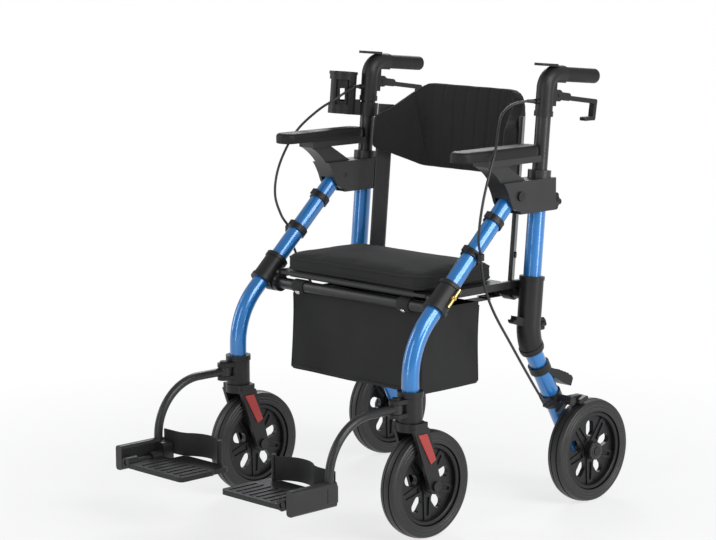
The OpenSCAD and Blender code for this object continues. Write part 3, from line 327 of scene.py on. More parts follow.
# %% [markdown]
# The finishes go by the names of the record's material slots, so that each CAD node finds its own later.

# %% Rigid finishes
finishes = {
    "frame_paint": paint_finish(),
    "black_metal": grained("black powder coat", (0.009, 0.009, 0.010), (0.024, 0.024, 0.025),
                           0.32, 1500, 0.00010, specular=0.42),
    "black_plastic": grained("black moulding", (0.008, 0.008, 0.009), (0.021, 0.021, 0.022),
                             0.40, 2400, 0.00007, specular=0.3),
    "bracket": grained("bracket moulding", (0.013, 0.013, 0.014), (0.034, 0.034, 0.035),
                       0.36, 2400, 0.00008, specular=0.4),
    "armrest_foam": grained("armrest skin", (0.003, 0.003, 0.004), (0.009, 0.009, 0.010),
                            0.52, 1100, 0.00014, specular=0.3),
    "grip_rubber": grained("grip rubber", (0.006, 0.006, 0.007), (0.015, 0.015, 0.016),
                           0.52, 1600, 0.00010, specular=0.28),
    "hub_plastic": grained("wheel moulding", (0.004, 0.004, 0.005), (0.012, 0.012, 0.013),
                           0.40, 1900, 0.00006, specular=0.35),
    "red_plastic": grained("red insert", (0.270, 0.020, 0.017), (0.430, 0.045, 0.040), 0.34, 1800, 0.00003),
    "steel": brushed("blackened steel", (0.030, 0.030, 0.032), (0.075, 0.075, 0.078), 0.34),
    "brass": brushed("brass", (0.52, 0.33, 0.10), (0.78, 0.56, 0.22), 0.22),
    "cable": grained("cable sheath", (0.010, 0.010, 0.010), (0.020, 0.020, 0.021), 0.38, 900, 0.00005),
}
print("rigid finishes", sorted(finishes))

# %% [markdown]
# A tyre's sidewall has raised rings, and they and its shoulder are painted lighter as highlights. Both go
# by the distance from the axle, so each wheel gets its own copy of the finish, centred on itself.

# %% Tyre finish
RING_DEPTHS = (11 * MM, 17 * MM)


def tyre_finish(wheel):
    f = new_finish("rubber of " + wheel)
    outer = size_of(wheel).z / 2
    from_axle = f.add("VectorMath", {"operation": "SUBTRACT"}, {0: f.place(), 1: middle(wheel)})
    across = f.add("VectorMath", {"operation": "MULTIPLY"}, {0: from_axle, 1: (0, 1, 1)})
    radius = f.add("VectorMath", {"operation": "LENGTH"}, {0: across}, output="Value")
    gaps = [(radius - (outer - depth)).math("ABSOLUTE", 0) for depth in RING_DEPTHS]
    # painted highlight: the raised rings are coloured lighter, besides their bump
    rings = sum(1 - f.steps(gap, 0.4 * MM, 1.5 * MM) for gap in gaps)
    # painted highlight: the tyre's shoulder is coloured lighter, and it is also made rougher
    painted_shoulder_highlight = f.steps(radius, outer - 8 * MM, outer - 2 * MM)
    grain, blotch = f.noise(700, 2), f.noise(30, 4)
    share = grain * 0.2 + blotch * 0.2 + rings * 0.35 + painted_shoulder_highlight * (0.15 + blotch * 0.2)
    colour = f.between(share, (0.002, 0.002, 0.002), (0.034, 0.033, 0.032))
    return f.shade(Base_Color=colour, Roughness=0.26 + blotch * 0.14 + painted_shoulder_highlight * 0.12, Specular_IOR_Level=0.5,
                   Normal=f.bump(grain * 0.1 + rings * 0.9, 0.0007))


# %% [markdown]
# ## Cloth
# The seat is a coated cloth and the backrest and bag are woven nylon. A weave has threads both ways that
# pass over and under, so two bands across each other, each offset by the other, give its bump.

# %% Maker of woven finishes
WAVE_LENGTH = 0.314  # metres from wave to wave at a scale of 1


def woven(name, dark, light, pitch, depth, rough):
    f = new_finish(name)
    scale = WAVE_LENGTH / pitch
    warp = f.wave(scale, "X") * f.wave(scale, "Z")
    weft = f.wave(scale, "Y") * f.wave(scale, "DIAGONAL")
    thread = warp * 0.5 + weft * 0.5
    fade = f.noise(9, 5)
    slub = f.noise(240, 3)
    colour = f.between(thread * 0.25 + fade * 0.5 + slub * 0.25, dark, light)
    return f.shade(Base_Color=colour, Roughness=rough + slub * 0.12, Specular_IOR_Level=0.28,
                   Sheen_Weight=0.06, Sheen_Roughness=0.5,
                   Normal=f.bump(thread * 0.7 + slub * 0.3, depth))


# %% [markdown]
# The covers, the bag, the straps and the sewing thread share that maker. They differ in shade and weave.

# %% Woven finishes
finishes |= {
    "cloth": woven("woven nylon", (0.006, 0.006, 0.006), (0.016, 0.016, 0.016), 1.6 * MM, 0.00022, 0.74),
    "bag_cloth": woven("bag nylon", (0.012, 0.012, 0.012), (0.026, 0.026, 0.026), 1.6 * MM, 0.00022, 0.74),
    "seat_cover": woven("coated seat cloth", (0.012, 0.012, 0.012), (0.027, 0.027, 0.027),
                        1.1 * MM, 0.00014, 0.80),
    "webbing": woven("strap webbing", (0.009, 0.009, 0.010), (0.021, 0.021, 0.022), 2.2 * MM, 0.00030, 0.66),
    "thread": woven("sewing thread", (0.014, 0.014, 0.015), (0.034, 0.034, 0.035), 0.5 * MM, 0.00005, 0.6),
}
print("with cloth there are", len(finishes), "finishes")

# %% [markdown]
# The record names a material slot for each CAD node, so the rigid parts are dressed by their slot. Only the
# brackets have a finish of their own, because their moulding is a little paler, and each tyre has its own.

# %% Dress the CAD nodes
slot_of = {part["node"]: part["material_slot"] for part in frame["record"]["subparts"]}
for name, node in nodes.items():
    if slot_of[name] == "tyre":
        look = tyre_finish(name)
    else:
        look = finishes["bracket" if name.startswith("armrest_bracket") else slot_of[name]]
    node.data.materials.clear()
    node.data.materials.append(look)
print("dressed", len(nodes), "CAD nodes")

# %% [markdown]
# ## Helpers for modelling by hand
# Every piece starts from a primitive, gets its edges picked by a test on their place, and is shaped by the
# operators that a person would use. Choosing is done in object mode, and the operator runs in edit mode.

# %% Adding and picking
def only(piece):
    bpy.ops.object.select_all(action="DESELECT")
    piece.select_set(True)
    bpy.context.view_layer.objects.active = piece
    return piece


def add_block(name, low, high):
    low, high = Vector(low), Vector(high)
    bpy.ops.object.select_all(action="DESELECT")
    bpy.ops.mesh.primitive_cube_add(size=1, location=(low + high) / 2)
    piece = bpy.context.object
    piece.name = name
    piece.scale = high - low
    bpy.ops.object.transform_apply(location=True, rotation=True, scale=True)
    return piece


def pick(piece, test, kind="EDGE"):
    """Selects the edges or faces whose corner points pass the test, and enters edit mode."""
    only(piece)
    bpy.ops.object.mode_set(mode="EDIT")
    bpy.ops.mesh.select_mode(type=kind)
    bpy.ops.mesh.select_all(action="DESELECT")
    bpy.ops.object.mode_set(mode="OBJECT")
    mesh = piece.data
    for part in mesh.edges if kind == "EDGE" else mesh.polygons:
        part.select = test(*[mesh.vertices[i].co for i in part.vertices])
    bpy.ops.object.mode_set(mode="EDIT")


def done(piece):
    bpy.ops.object.mode_set(mode="OBJECT")
    return only(piece)


def apply_modifier(piece, kind, **settings):
    only(piece)
    modifier = piece.modifiers.new(kind.title(), kind)
    for name, value in settings.items():
        setattr(modifier, name, value)
    bpy.ops.object.modifier_apply(modifier=modifier.name)


# %% [markdown]
# Most blocks get round edges. A block's edges are told apart by where they lie: upright, at the top or at the
# base.

# %% Rounding, cutting and smoothing
def is_upright(a, b):
    return abs(a.z - b.z) > 1 * MM


def lies_above(height):
    return lambda *corners: min(c.z for c in corners) > height


def lies_below(height):
    return lambda *corners: max(c.z for c in corners) < height


def round_edges(piece, test, radius, segments):
    """Bevels the edges that pass the test."""
    pick(piece, test)
    bpy.ops.mesh.bevel(offset=radius, segments=segments, affect="EDGES")
    done(piece)


def cut_up(piece, cuts):
    only(piece)
    bpy.ops.object.mode_set(mode="EDIT")
    bpy.ops.mesh.select_all(action="SELECT")
    bpy.ops.mesh.subdivide(number_cuts=cuts)
    bpy.ops.object.mode_set(mode="OBJECT")


def smooth(piece, degrees=40):
    only(piece)
    bpy.ops.object.shade_smooth_by_angle(angle=math.radians(degrees))
    return piece


# %% [markdown]
# A piece that is done gets its finish, moves with one body, and may take the place of CAD nodes.

# %% Handing a piece over
def give(piece, finish, slot, body, *replaced):
    """Finishes a piece: its material, its slot (which is not used), the body it moves with and the nodes it
    stands for.
    """
    piece.data.materials.clear()
    piece.data.materials.append(finishes[finish])
    if body:
        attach(piece, body)
    if replaced:
        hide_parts(*replaced)
    print(piece.name, "has", len(piece.data.polygons), "faces and rides on", body or "both its bodies")
    return piece


# %% [markdown]
# Soft pieces are simulated as cloth with air inside. Cloth needs a mesh of even squares, so a block is
# remeshed first. The pressure acts for a few frames, and no point may go further than a cap, so the piece
# keeps to its size.

# %% Remesh and swell
VOXEL = 5 * MM
CLOTH_FRAMES, CLOTH_QUALITY = 20, 5


def remesh(piece):
    only(piece)
    piece.data.remesh_voxel_size = VOXEL
    bpy.ops.object.voxel_remesh()


def swell(piece, pressure, cap, pins=None, gravity=0.0):
    """Lets a piece move as cloth under air pressure, with no point moving further than the cap."""
    only(piece)
    start = [v.co.copy() for v in piece.data.vertices]
    cloth = piece.modifiers.new("Swell", "CLOTH")
    cloth.settings.use_pressure = True
    cloth.settings.uniform_pressure_force = pressure
    cloth.settings.effector_weights.gravity = gravity
    cloth.settings.quality = CLOTH_QUALITY
    cloth.point_cache.frame_start, cloth.point_cache.frame_end = 1, CLOTH_FRAMES
    if pins:
        group = piece.vertex_groups.new(name="pinned")
        group.add([v.index for v in piece.data.vertices if pins(v.co)], 1.0, "REPLACE")
        cloth.settings.vertex_group_mass = "pinned"
    for number in range(1, CLOTH_FRAMES + 1):
        bpy.context.scene.frame_set(number)
    swollen = piece.evaluated_get(bpy.context.evaluated_depsgraph_get()).data
    moved = [v.co.copy() for v in swollen.vertices]
    piece.modifiers.remove(cloth)
    piece.vertex_groups.clear()
    for vertex, old, new in zip(piece.data.vertices, start, moved):
        step = new - old
        if step.length > cap:
            step *= cap / step.length
        vertex.co = old + step
    bpy.context.scene.frame_set(1)
    print(piece.name, "swelled by up to", round(max((n - o).length for n, o in zip(moved, start)), 4))


# %% [markdown]
# Sewn covers are never quite flat. Slow noise moves each point a little along its normal, which is enough to
# break up a straight highlight. The noise depends on the place alone, so every run gives the same folds.

# %% Ripples
def ripple(piece, depth, stretch):
    """Moves each point along its normal by smooth noise; stretch gives the waves' length on each axis."""
    mesh = piece.data
    for vertex, normal in [(v, v.normal.copy()) for v in mesh.vertices]:
        at = Vector([c / w for c, w in zip(vertex.co, stretch)])
        vertex.co += normal * depth * noise.noise(at)
    mesh.update()


# %% [markdown]
# A row of stitches is one short thread, copied along a line and joined. Each thread lies along the line, and
# half of it is sunk into the cover.

# %% Stitch maker
STITCH_LEN, STITCH_STEP, STITCH_R = 4.0 * MM, 6.0 * MM, 0.5 * MM


def evenly(line, step):
    """Points at an even step along a line of points, each with the direction there."""
    found, carried = [], 0.0
    for a, b in zip(line, line[1:]):
        length = (b - a).length
        while carried <= length and length > 0:
            found.append((a + (b - a) * carried / length, (b - a).normalized()))
            carried += step
        carried -= length
    return found


def stitches(name, spots):
    """One joined piece with a thread at each spot, which is a place and the direction of sewing."""
    bpy.ops.object.select_all(action="DESELECT")
    bpy.ops.mesh.primitive_cylinder_add(vertices=6, radius=STITCH_R, depth=STITCH_LEN)
    thread = bpy.context.object
    thread.name = name
    apply_modifier(thread, "BEVEL", width=0.6 * STITCH_R, segments=1, limit_method="ANGLE")
    shape = thread.data.copy()
    for number, (place, along) in enumerate(spots):
        turn = Matrix.Translation(place) @ along.to_track_quat("Z", "Y").to_matrix().to_4x4()
        copy = thread if number == 0 else bpy.data.objects.new("thread", shape.copy())
        copy.data.transform(turn)
        if number:
            bpy.context.collection.objects.link(copy)
            copy.select_set(True)
    bpy.context.view_layer.objects.active = thread
    bpy.ops.object.join()
    return smooth(bpy.context.object, 60)


# %% [markdown]
# Bindings and cables are round tubes along a smooth line, so they share one maker. Short, straight pieces,
# such as caps and sleeves, start from a rod instead.

# %% Lines, tubes and rods
def curve_through(points, steps):
    """A smooth line through the points, with a few steps between each two."""
    line = []
    for i in range(len(points) - 1):
        a, b = points[max(i - 1, 0)], points[i]
        c, d = points[i + 1], points[min(i + 2, len(points) - 1)]
        for n in range(steps):
            t = n / steps
            line.append(0.5 * (2 * b + (c - a) * t + (2 * a - 5 * b + 4 * c - d) * t ** 2
                               + (3 * b - a - 3 * c + d) * t ** 3))
    return line + [points[-1]]


def tube(name, line, diameter):
    """A round tube along a line, made as a curve with a bevel and turned into a mesh."""
    bpy.ops.object.select_all(action="DESELECT")
    bpy.ops.curve.primitive_nurbs_path_add()
    path = bpy.context.object
    path.name = name
    path.data.splines.clear()
    spline = path.data.splines.new("POLY")
    spline.points.add(len(line) - 1)
    for point, at in zip(spline.points, line):
        point.co = (*at, 1)
    path.data.bevel_depth = diameter / 2
    path.data.bevel_resolution = 3
    path.data.use_fill_caps = True
    only(path)
    bpy.ops.object.convert(target="MESH")
    piece = only(bpy.context.object)
    bpy.ops.object.transform_apply(location=True, rotation=True, scale=True)
    return smooth(piece, 80)


def add_rod(name, centre, along, radius, length, vertices=40, ends="NGON"):
    """A cylinder with its middle at the centre and its axis along the direction."""
    bpy.ops.object.select_all(action="DESELECT")
    bpy.ops.mesh.primitive_cylinder_add(vertices=vertices, radius=radius, depth=length, end_fill_type=ends,
                                        location=centre, rotation=along.to_track_quat("Z", "Y").to_euler())
    piece = bpy.context.object
    piece.name = name
    bpy.ops.object.transform_apply(location=True, rotation=True, scale=True)
    return piece


# %% [markdown]
# ## Seat cushion
# The cushion is a foam slab in a sewn cover. Its sides are pulled in between the corners and its top is
# crowned, because foam fills the middle most. A block with rounded corners is drawn in, swelled as cloth,
# and set flat on the board again.

# %% Seat cushion
seat_low, seat_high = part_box("seat_pad")
seat_middle = (seat_low + seat_high) / 2
seat_half = (seat_high - seat_low) / 2
SEAT_EDGE = 31 * MM
CORNER_R, TOP_EDGE_R = 24 * MM, 9 * MM
SWELL_ROOM = 3 * MM
seat_top = seat_low.z + SEAT_EDGE

seat = add_block("seat_cushion", seat_low + Vector((SWELL_ROOM, SWELL_ROOM, 0)),
                 Vector((seat_high.x - SWELL_ROOM, seat_high.y - SWELL_ROOM, seat_top)))
round_edges(seat, is_upright, CORNER_R, 6)
round_edges(seat, lies_above(seat_top - 1 * MM), TOP_EDGE_R, 4)
remesh(seat)


def crown_and_draw(piece, draw, crown):
    """Pulls the sides in between the corners, and lifts the top in the middle."""
    for vertex in piece.data.vertices:
        u = (vertex.co.x - seat_middle.x) / seat_half.x
        v = (vertex.co.y - seat_middle.y) / seat_half.y
        up = (vertex.co.z - seat_low.z) / SEAT_EDGE
        vertex.co.x -= draw * u * max(0, 1 - v * v) * abs(u) ** 6
        vertex.co.y -= draw * v * max(0, 1 - u * u) * abs(v) ** 6
        vertex.co.z += crown * up * max(0, 1 - abs(u) ** 2.6) * max(0, 1 - abs(v) ** 2.6)


crown_and_draw(seat, draw=5 * MM, crown=6 * MM)
swell(seat, pressure=3.5, cap=5 * MM)
for vertex in seat.data.vertices:
    vertex.co.z = max(vertex.co.z, seat_low.z)
apply_modifier(seat, "SMOOTH", factor=0.5, iterations=4)
apply_modifier(seat, "SUBSURF", levels=1, render_levels=1)
ripple(seat, 1.0 * MM, (70 * MM, 45 * MM, 60 * MM))
smooth(seat, 60)
give(seat, "seat_cover", "seat_cover", "seat", "seat_pad")

# %% [markdown]
# A cover is sewn from a top and a band, and a cord of piping hides the seam. Piping follows the cushion
# exactly, so a flat ring is pulled onto the cushion's skin first and thickened into a tube afterwards.

# %% Piping on the seat
PIPING_R = 2.2 * MM
CORNER_POWER = 0.25


def seat_outline(angle, inset, height):
    """The point of the seat's rounded outline at one angle, seen from above."""
    u, v = math.cos(angle), math.sin(angle)
    return Vector((
        seat_middle.x + math.copysign(abs(u) ** CORNER_POWER, u) * (seat_half.x - inset),
        seat_middle.y + math.copysign(abs(v) ** CORNER_POWER, v) * (seat_half.y - inset),
        height,
    ))


def piping(name, around, height):
    """A round cord sewn along a cushion at one height."""
    bpy.ops.object.select_all(action="DESELECT")
    bpy.ops.mesh.primitive_circle_add(vertices=220, radius=1, location=(0, 0, 0))
    ring = bpy.context.object
    ring.name = name
    for vertex in ring.data.vertices:
        vertex.co = seat_outline(math.atan2(vertex.co.y, vertex.co.x), 0, height)
    apply_modifier(ring, "SHRINKWRAP", target=around, wrap_method="NEAREST_SURFACEPOINT")
    apply_modifier(ring, "SMOOTH", factor=0.5, iterations=6)
    only(ring)
    bpy.ops.object.convert(target="CURVE")
    ring = bpy.context.object
    ring.data.bevel_depth = PIPING_R
    ring.data.bevel_resolution = 2
    bpy.ops.object.convert(target="MESH")
    return smooth(bpy.context.object, 80)


for label, level in (("top", SEAT_EDGE - 2 * MM), ("base", 6 * MM)):
    cord = piping("seat_piping_" + label, seat, seat_low.z + level)
    give(cord, "seat_cover", "seat_cover", "seat")

# %% [markdown]
# A sewn border runs inside the piping. Its line is drawn flat above the cushion, and each stitch drops onto
# the cover below it.

# %% Border stitches on the seat
BORDER, BORDER_POINTS = 15 * MM, 240
DROP_FROM = seat_high.z + 20 * MM

border = [seat_outline(math.tau * i / BORDER_POINTS, BORDER, DROP_FROM) for i in range(BORDER_POINTS + 1)]
bpy.context.view_layer.update()
spots = []
for place, along in evenly(border, STITCH_STEP):
    hit, touched, normal, _ = seat.ray_cast(place, Vector((0, 0, -1)))
    if hit:
        spots.append((touched, along - normal * along.dot(normal)))
give(stitches("seat_stitches", spots), "thread", "seat_cover", "seat")
print("seat border has", len(spots), "stitches")

# %% [markdown]
# ## Backrest
# The backrest is one long pad. It is made flat, as it is sewn: tapered towards the ends, filled, and
# channelled by its stitch lines. Then both wings are bent forward in small turns, one after another from
# the tip inwards, and the whole pad leans with the uprights.

# %% Backrest, flat
BACK_FLAT = 105 * MM
BACK_BEND_R = 45 * MM
BACK_WING = 76 * MM
BACK_H, WING_H, BACK_T = 174 * MM, 80 * MM, 26 * MM
WING_DROP = 20 * MM
TAPER_FROM = 0.45
TIP_H, TIP_POWER = 0.72, 22
BACK_CUTS = 31
bend_len = BACK_BEND_R * WING_TURN
back_half = BACK_FLAT + bend_len + BACK_WING


def ease(t):
    t = min(max(t, 0), 1)
    return t * t * (3 - 2 * t)


back = add_block("backrest_cushion", (-back_half, -BACK_T / 2 + SWELL_ROOM, -BACK_H / 2),
                 (back_half, BACK_T / 2 - SWELL_ROOM, BACK_H / 2))
cut_up(back, BACK_CUTS)


def taper_wings(piece):
    """Draws the ends of the flat pad down to the wings' height, with round tips."""
    for vertex in piece.data.vertices:
        share = abs(vertex.co.x) / back_half
        taper = ease((share - TAPER_FROM) / (1 - TAPER_FROM))
        tip = TIP_H + (1 - TIP_H) * math.sqrt(max(0, 1 - share ** TIP_POWER))
        height = (BACK_H * (1 - taper) + WING_H * taper) / BACK_H * tip
        vertex.co.z = vertex.co.z * height - WING_DROP * taper


taper_wings(back)
remesh(back)
swell(back, pressure=6, cap=5 * MM)
apply_modifier(back, "SMOOTH", factor=0.5, iterations=3)
print("flat backrest is", round(2 * back_half, 3), "m wide")

# %% [markdown]
# Stitching draws the cover into the foam. Each line presses a narrow groove, deepest on the line itself,
# into both faces of the pad.

# %% Backrest channels
CHANNEL_PITCH = 30 * MM
CHANNEL_DEPTH = 1.7 * MM
CHANNEL_HALF = 5 * MM
CHANNELS_TO = 95 * MM
WING_SEAM_AT, WING_SEAM_SLANT = 122 * MM, 0.42
WING_SEAM_DEPTH = 1.4 * CHANNEL_DEPTH


def press_line(vertex, distance, depth):
    if abs(distance) < CHANNEL_HALF:
        groove = depth * math.cos(distance / CHANNEL_HALF * math.pi / 2) ** 2
        vertex.co.y -= math.copysign(groove, vertex.co.y)


apply_modifier(back, "SUBSURF", levels=1, render_levels=1)
on_face = [vertex for vertex in back.data.vertices if abs(vertex.co.y) > 0.3 * BACK_T]
for vertex in on_face:
    x, _, z = vertex.co
    if abs(x) < CHANNELS_TO:
        press_line(vertex, (x + CHANNEL_PITCH / 2) % CHANNEL_PITCH - CHANNEL_PITCH / 2, CHANNEL_DEPTH)
    else:
        press_line(vertex, abs(x) - WING_SEAM_AT - WING_SEAM_SLANT * z, WING_SEAM_DEPTH)
print("channels pressed into", len(on_face), "points")

# %% [markdown]
# The threads of those lines are laid while the pad is still flat. There a ray straight into the pad finds the
# cover's skin, on the front and on the back.

# %% Stitches on the flat backrest
CHANNEL_ENDS = (-72 * MM, 72 * MM)
SEAM_ENDS = (-52 * MM, 58 * MM)
LOOK_FROM = 60 * MM

bpy.context.view_layer.update()
sewn_lines = [[Vector((CHANNEL_PITCH * n, 0, z)) for z in CHANNEL_ENDS] for n in range(-3, 4)]
for k in SIDES.values():
    sewn_lines.append([Vector((k * (WING_SEAM_AT + WING_SEAM_SLANT * z), 0, z)) for z in SEAM_ENDS])
spots = []
for line in sewn_lines:
    for place, along in evenly(line, STITCH_STEP):
        for face in (1, -1):
            inward = Vector((0, face, 0))
            hit, touched, normal, _ = back.ray_cast(place - LOOK_FROM * inward, inward)
            if hit:
                spots.append((touched, along - normal * along.dot(normal)))
back_thread = stitches("backrest_stitches", spots)
print("backrest has", len(spots), "stitches")

# %% [markdown]
# Each wing is bent by small turns about upright lines, the outermost first, so a later turn carries the
# earlier ones with it. The pad and its threads take the same turns, and both then lean back onto the posts.

# %% Backrest, bent and hung
BEND_STEPS = 12
BACK_UP, BACK_DEPTH = 297 * MM, 50 * MM
step_turn = WING_TURN / BEND_STEPS


def bend_and_hang(piece):
    """Bends both wings of a flat piece forward and hangs it on the leaning uprights."""
    flat_x = [vertex.co.x for vertex in piece.data.vertices]
    for side in (1, -1):
        for number in reversed(range(BEND_STEPS)):
            station = BACK_FLAT + (number + 0.5) * bend_len / BEND_STEPS
            turn = Matrix.Rotation(-side * step_turn, 4, "Z")
            pivot = Vector((side * station, 0, 0))
            for vertex, x in zip(piece.data.vertices, flat_x):
                if side * x > station:
                    vertex.co = pivot + turn @ (vertex.co - pivot)
    lean = Matrix.Rotation(-UPRIGHT_LEAN, 4, "X") @ Matrix.Translation((0, BACK_DEPTH, BACK_UP))
    piece.data.transform(Matrix.Translation((0, rear_rail.y, rear_rail.z)) @ lean)
    piece.data.update()


ripple(back, 0.9 * MM, (45 * MM, 80 * MM, 70 * MM))
bend_and_hang(back)
bend_and_hang(back_thread)
give(back_thread, "thread", "cloth", "rear_frame")
smooth(back, 60)
give(back, "cloth", "cloth", "rear_frame", "backrest_pad")

# %% [markdown]
# ## Bag
# The bag hangs between the two rails under the seat. Its rim is held, its base is stiff and its sides draw
# in. So it is cut as an open box with round edges, and moves as cloth with rim and base pinned. Its
# thickness, binding and straps come afterwards.

# %% Bag shell
bag_low, bag_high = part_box("bag")
BAG_TOP = front_rail.z - rail_r + 2 * MM
BAG_WIDTH = bag_high.x - bag_low.x
BAG_FRONT = front_rail.y + 7 * MM
BAG_DEPTH = 156 * MM
BAG_WALL = 2.4 * MM
RIM_HELD, BASE_HELD = 12 * MM, 5 * MM
DRAWN_AT_CORNERS = 0.45
bag_middle_y = BAG_FRONT + BAG_DEPTH / 2

bag = add_block("storage_bag", (-BAG_WIDTH / 2, BAG_FRONT, bag_low.z),
                (BAG_WIDTH / 2, BAG_FRONT + BAG_DEPTH, BAG_TOP))
round_edges(bag, is_upright, 5 * MM, 3)
round_edges(bag, lies_below(bag_low.z + 1 * MM), 3 * MM, 2)
remesh(bag)
pick(bag, lies_above(BAG_TOP - VOXEL), "FACE")
bpy.ops.mesh.delete(type="FACE")
done(bag)


def hang_bag(piece, waist, flare, forward):
    """Draws the sides in between rim and base, narrows the rim and swings the base forward."""
    for vertex in piece.data.vertices:
        u = vertex.co.x / (BAG_WIDTH / 2)
        v = (vertex.co.y - bag_middle_y) / (BAG_DEPTH / 2)
        t = (vertex.co.z - bag_low.z) / (BAG_TOP - bag_low.z)
        drawn = waist * 4 * t * (1 - t) + flare * t
        vertex.co.x -= u * drawn * (1 - (1 - DRAWN_AT_CORNERS) * v * v)
        vertex.co.y -= v * drawn * (1 - (1 - DRAWN_AT_CORNERS) * u * u) + forward * (1 - t)


def rim_and_base(point):
    return point.z > BAG_TOP - RIM_HELD or point.z < bag_low.z + BASE_HELD


def fold_with_bag(piece):
    """Gives a piece of the bag a mesh of its own."""
    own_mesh(piece)


hang_bag(bag, waist=3.5 * MM, flare=3.5 * MM, forward=5 * MM)
swell(bag, pressure=-0.5, cap=8 * MM, pins=rim_and_base, gravity=0.3)
apply_modifier(bag, "SMOOTH", factor=0.4, iterations=3)
apply_modifier(bag, "SUBSURF", levels=1, render_levels=1)
ripple(bag, 1.6 * MM, (60 * MM, 60 * MM, 110 * MM))
apply_modifier(bag, "SOLIDIFY", thickness=BAG_WALL, offset=-1)
smooth(bag, 60)
give(bag, "bag_cloth", "cloth", "front_frame", "bag")
fold_with_bag(bag)

# %% [markdown]
# Sewn bags have their panels joined under a narrow binding. It runs down the four upright corners and round
# the base, and it lies on the bag's own skin, so its line is read from the shell.

# %% Bag binding
BINDING_D = 4 * MM
BINDING_TOP, BINDING_BASE = BAG_TOP - 8 * MM, bag_low.z + 6 * MM
LEVELS, NEAR_LEVEL = 14, 4 * MM


def corner_line(k, rearward):
    """The outermost points of one upright corner of the bag, from the rim down."""
    line = []
    for i in range(LEVELS + 1):
        z = BINDING_TOP - (BINDING_TOP - BINDING_BASE) * i / LEVELS
        near = [v.co for v in bag.data.vertices if abs(v.co.z - z) < NEAR_LEVEL]
        best = max(near, key=lambda p: k * p.x + rearward * (p.y - bag_middle_y))
        line.append(Vector((best.x, best.y, z)))
    return line


base_loop = []
for k, rearward in ((1, 1), (-1, 1), (-1, -1), (1, -1)):
    line = corner_line(k, rearward)
    corner = f"{'l' if k > 0 else 'r'}_{'rear' if rearward > 0 else 'front'}"
    cord = tube("bag_binding_" + corner, curve_through(line[::2], 4), BINDING_D)
    give(cord, "webbing", "cloth", "front_frame")
    fold_with_bag(cord)
    base_loop.append(line[-1])
base_loop.append(base_loop[0])
cord = tube("bag_binding_base", base_loop, BINDING_D)
give(cord, "webbing", "cloth", "front_frame")
fold_with_bag(cord)

# %% [markdown]
# ## Webbing
# Flat straps are modelled directly. A strap is a strip that is extruded step by step along its path, given
# its thickness, and softened at its edges.

# %% Strap maker
SAME_PLACE = 0.001 * MM


def strap(name, path, across, thickness):
    """A flat strip along the path, as wide as the across vector."""
    path = [Vector(p) for p in path]
    across = Vector(across)
    bpy.ops.object.select_all(action="DESELECT")
    bpy.ops.mesh.primitive_plane_add(size=1)
    strip = bpy.context.object
    strip.name = name
    corners = [path[0] - across / 2, path[0] + across / 2, path[1] - across / 2, path[1] + across / 2]
    for vertex, corner in zip(strip.data.vertices, corners):
        vertex.co = corner
    for here, there in zip(path[1:], path[2:]):
        left, right = here - across / 2, here + across / 2
        pick(strip, lambda a, b: min((a - left).length + (b - right).length,
                                     (a - right).length + (b - left).length) < SAME_PLACE)
        bpy.ops.mesh.extrude_edges_move(TRANSFORM_OT_translate={"value": there - here})
        done(strip)
    apply_modifier(strip, "SOLIDIFY", thickness=thickness, offset=0)
    apply_modifier(strip, "BEVEL", width=0.3 * thickness, segments=2, limit_method="ANGLE")
    return smooth(strip, 50)


# %% [markdown]
# The bag hangs from both rails by webbing. At the front, a strap runs from the bag round its rail. At the
# back, the loop stays on its rail and the tab stays on the bag, because the two move apart in folding.

# %% Bag straps
LOOP_R = rail_r + 1.3 * MM
BAG_STRAP_X, BAG_STRAP_W, WEB_T = 142 * MM, 30 * MM, 1.8 * MM
LOOP_STEPS = 18


def loop_round(rail, first_degrees, last_degrees):
    """Points round a rail, from one angle to another, seen from the chair's left side."""
    turn = last_degrees - first_degrees
    angles = [math.radians(first_degrees + turn * i / LOOP_STEPS) for i in range(LOOP_STEPS + 1)]
    return [(rail.y + LOOP_R * math.cos(a), rail.z + LOOP_R * math.sin(a)) for a in angles]


bag_rear = BAG_FRONT + BAG_DEPTH - 3 * MM
under = rear_rail.z - LOOP_R
tab_z = under - 1.4 * WEB_T
tab_path = [(bag_rear, under - 22 * MM), (bag_rear + 2 * MM, under - 6 * MM), (bag_rear + 8 * MM, tab_z),
            (rear_rail.y - 26 * MM, tab_z)]
front_path = [(BAG_FRONT + 9 * MM, BAG_TOP - 24 * MM), (BAG_FRONT + 9 * MM, BAG_TOP - 8 * MM)]
front_path += loop_round(front_rail, -55, 280)
loop_path = [(rear_rail.y - 34 * MM, under + 0.6 * MM), (rear_rail.y - 14 * MM, under + 0.3 * MM)]
loop_path += loop_round(rear_rail, -100, 245)


def bag_web(name, x, path, body):
    web = strap(name, [(x, *p) for p in path], (BAG_STRAP_W, 0, 0), WEB_T)
    return give(web, "webbing", "cloth", body)


for side, k in SIDES.items():
    fold_with_bag(bag_web("bag_strap_rear_" + side, k * BAG_STRAP_X, tab_path, "front_frame"))
    fold_with_bag(bag_web("bag_strap_front_" + side, k * BAG_STRAP_X, front_path, "front_frame"))
    bag_web("bag_loop_rear_" + side, k * BAG_STRAP_X, loop_path, "rear_frame")

# %% [markdown]
# A snap closes each front loop. It is a short disc whose face is inset and raised into a dome.

# %% Snaps on the loops
SNAP_R, SNAP_H = 5.5 * MM, 2.4 * MM
SNAP_TILT = math.radians(50)
finishes["nickel"] = brushed("nickel plate", (0.50, 0.49, 0.47), (0.72, 0.71, 0.69), 0.16)


